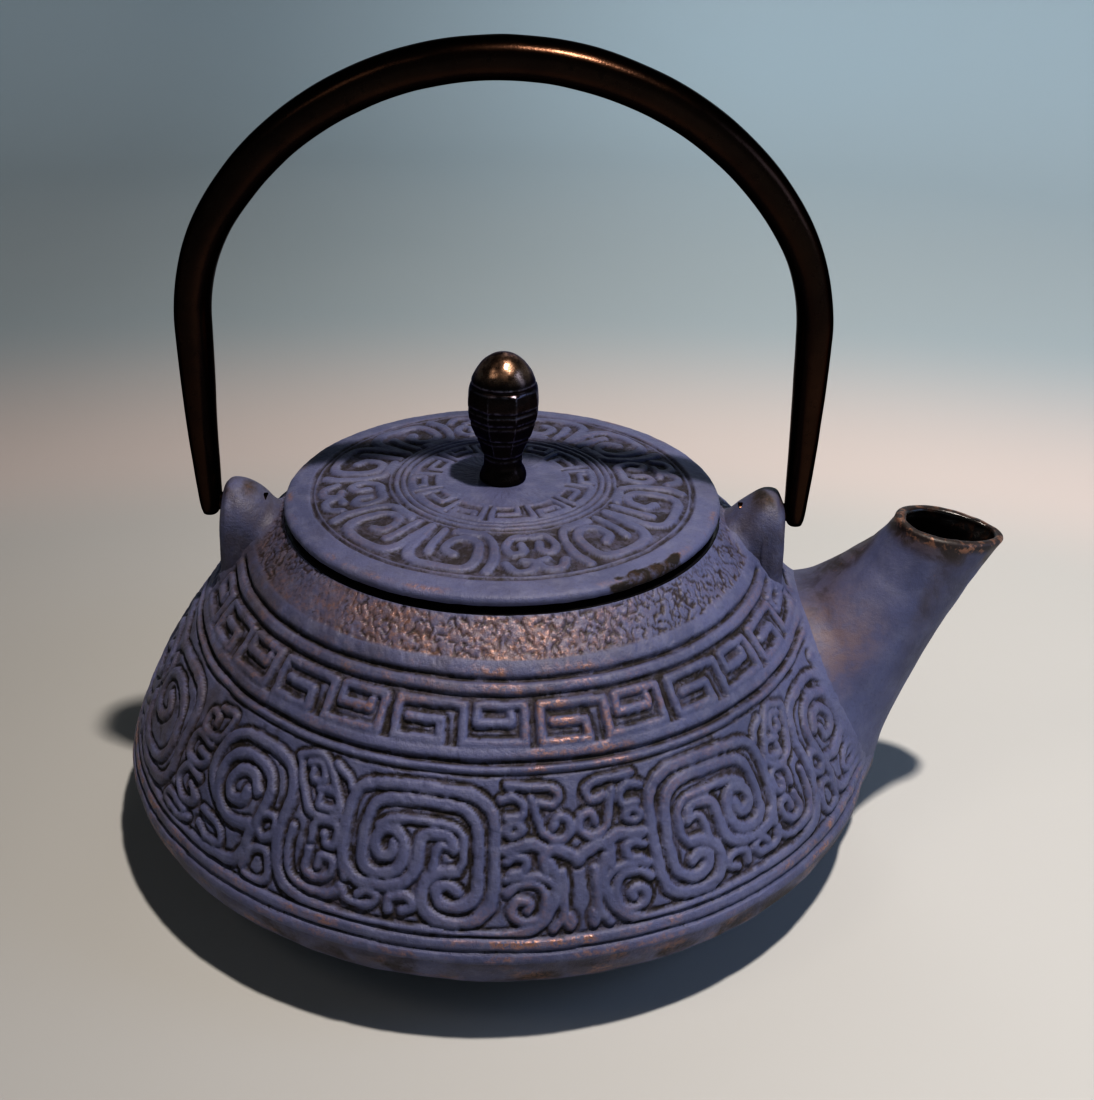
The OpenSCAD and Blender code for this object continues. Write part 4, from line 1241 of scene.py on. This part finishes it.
M_BLUE = blue_iron("painted_blue_iron")
M_SPOUT = blue_iron("painted_blue_spout", True)
M_BLACK = black_iron("satin_black_iron")
M_KNOB = black_iron("satin_black_knob", 0.20, True)
M_ENAMEL = enamel("black_enamel")
M_SHEET = steel("stainless_sheet", (0.60, 0.59, 0.57), 0.20)
M_WIRE = steel("stainless_wire", (0.52, 0.52, 0.51), 0.26, (900, 900, 900))
M_PLATE = steel("plated_steel", (0.56, 0.56, 0.57), 0.24, (1200, 1200, 90))

for o, mt, body, slot in (
        (pot_upper, M_BLUE, "pot", "blue_iron"), (pot_front, M_BLUE, "pot", "blue_iron"),
        (pot_back, M_BLUE, "pot", "blue_iron"), (pot_under, M_BLUE, "pot", "blue_iron"),
        (spout, M_SPOUT, "pot", "blue_iron"), (lug_r, M_BLUE, "pot", "blue_iron"),
        (lug_l, M_BLUE, "pot", "blue_iron"), (pot_inside, M_ENAMEL, "pot", "blue_iron"),
        (lid_top_ob, M_BLUE, "lid", "blue_iron"), (lid_under_ob, M_ENAMEL, "lid", "blue_iron"),
        (knob, M_KNOB, "lid", "black_iron"), (handle, M_BLACK, "handle", "black_iron"),
        (mesh_wall, M_WIRE, "infuser", "stainless_mesh"), (mesh_floor, M_WIRE, "infuser", "stainless_mesh"),
        (rim_ob, M_SHEET, "infuser", "stainless_sheet"), (foot_ob, M_SHEET, "infuser", "stainless_sheet"),
        (seam_ob, M_SHEET, "infuser", "stainless_sheet")):
    o.data.materials.append(mt)
    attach(o, body)

for o in (pot_upper, pot_front, pot_back, pot_under, spout, lug_r, lug_l, pot_inside):
    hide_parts("pot_body")
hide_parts("lid")
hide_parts("lid")
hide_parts("lid_knob")
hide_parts("handle_bow")
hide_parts("infuser_wall")
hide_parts("infuser_floor")
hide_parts("infuser_rim")
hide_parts("infuser_foot_band")
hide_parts("infuser_seam")

for n, mt in (("knob_stud", M_PLATE), ("knob_washer", M_PLATE), ("knob_nut", M_PLATE),
              ("handle_peg_left", M_BLACK), ("handle_peg_right", M_BLACK)):
    o = NODES[n]
    if not o.data.materials:
        o.data.materials.append(mt)
    for k in range(len(o.material_slots)):
        o.material_slots[k].material = mt

# --------------------------------------------------------------------------
# stage: a pale sweep, soft lights and the camera
# --------------------------------------------------------------------------
def sweep():
    """Round floor that curves up into a wall on every side, in millimetres."""
    prof = [(1.0, 0.0), (150, 0.0), (300, 0.0), (450, 0.0), (620, 0.0)]
    R, r0 = 350.0, 620.0
    for a in np.linspace(0, 90, 32)[1:]:
        t = math.radians(a)
        prof.append((r0 + R * math.sin(t), R * (1 - math.cos(t))))
    prof += [(r0 + R, 600.0), (r0 + R, 1000.0)]
    n = 160
    t = np.linspace(0, 2 * np.pi, n, endpoint=False)
    V = np.array([[(r * c, r * s_, z - 0.02) for c, s_ in zip(np.cos(t), np.sin(t))] for r, z in prof])
    return mesh_obj("studio_sweep", V.reshape(-1, 3), grid_quads(len(prof), n, True, False),
                    [list(range(n))[::-1]])


floor = sweep()
fm_ = Mat("sweep_paper")
sepn = fm_.t.nodes.new("ShaderNodeSeparateXYZ")
fm_.put(sepn.inputs[0], fm_.co)
sx2 = fm_.math("MULTIPLY", fm_.math("MULTIPLY", sepn.outputs["X"], sepn.outputs["X"]), 0.30)
sy2 = fm_.math("MULTIPLY", sepn.outputs["Y"], sepn.outputs["Y"])
far = fm_.math("ADD", fm_.math("SQRT", fm_.math("ADD", sx2, sy2)), sepn.outputs["Z"])
# painted light on the sweep: the floor is darkened to the left, and its tone changes with distance paint a warm,
# lighter band a little behind the pot and bluer light further off
gx = fm_.ramp(sepn.outputs["X"], -0.26, 0.16)
gb = fm_.ramp(far, 0.140, 0.195)
gm = fm_.ramp(far, 0.195, 0.345)
gt = fm_.ramp(far, 0.340, 0.860)
fcol = fm_.mix(gb, (0.555, 0.553, 0.535), (0.650, 0.590, 0.560))
fcol = fm_.mix(gm, fcol, (0.420, 0.490, 0.520))
fcol = fm_.mix(gt, fcol, (0.480, 0.610, 0.690))
# the walls darken towards the top
gw = fm_.ramp(sepn.outputs["Z"], 0.10, 0.55, 0.0, 0.72)
fcol = fm_.mix(gx, fm_.mix(1.0, fcol, (0.520, 0.515, 0.520), "MULTIPLY"), fcol)
fcol = fm_.mix(gw, fcol, (0.090, 0.110, 0.130))
fcol = fm_.mix(fm_.ramp(fm_.noise(5, 2, 0.5), 0.3, 0.7, 0.0, 0.05), fcol, (0.5, 0.5, 0.5))
fm_.set(Base_Color=fcol, Roughness=0.85)
floor.data.materials.append(fm_.m)


def area(name, loc, target, size, power, color, size_y=None):
    d = bpy.data.lights.new(name, "AREA")
    d.shape = "RECTANGLE" if size_y else "SQUARE"
    d.size = size
    if size_y:
        d.size_y = size_y
    d.energy = power
    d.color = color
    o = bpy.data.objects.new(name, d)
    o.location = loc
    v = Vector(target) - Vector(loc)
    o.rotation_euler = v.to_track_quat("-Z", "Y").to_euler()
    bpy.context.scene.collection.objects.link(o)
    return o


area("key_overhead", (0.20, -0.17, 1.05), (0, 0, 0.05), 0.045, 9.3, (1.0, 0.92, 0.84))
area("fill_left", (-0.55, -0.40, 0.85), (0, 0, 0.04), 0.30, 0.42, (1.0, 0.90, 0.80))
area("fill_back", (0.15, 0.75, 0.60), (0, 0, 0.05), 0.40, 0.40, (0.95, 0.97, 1.0))
area("right_blue", (0.85, -0.15, 0.50), (0, 0, 0.07), 0.40, 1.30, (0.45, 0.62, 1.0))

w = bpy.data.worlds.new("studio") if not bpy.context.scene.world else bpy.context.scene.world
bpy.context.scene.world = w
w.use_nodes = True
bg = w.node_tree.nodes.get("Background") or w.node_tree.nodes.new("ShaderNodeBackground")
bg.inputs["Color"].default_value = (0.62, 0.74, 0.95, 1)
bg.inputs["Strength"].default_value = 0.010

cam = bpy.data.cameras.new("camera")
cam.sensor_width = 36.0
cam.lens = 49.65
cam.clip_start, cam.clip_end = 0.01, 20
co_ = bpy.data.objects.new("camera", cam)
bpy.context.scene.collection.objects.link(co_)
fwd = Vector((-0.00169, 0.88463, -0.46628)).normalized()
right = Vector((0.99979, 0.01107, 0.01739))
right = (right - fwd * right.dot(fwd)).normalized()
up = right.cross(fwd).normalized()
R3 = Matrix((right, up, -fwd)).transposed()
co_.matrix_world = Matrix.Translation((0.01022, -0.29264, 0.21685)) @ R3.to_4x4()
bpy.context.scene.camera = co_
bpy.context.scene.view_settings.view_transform = "Standard"
bpy.context.scene.view_settings.look = "High Contrast"
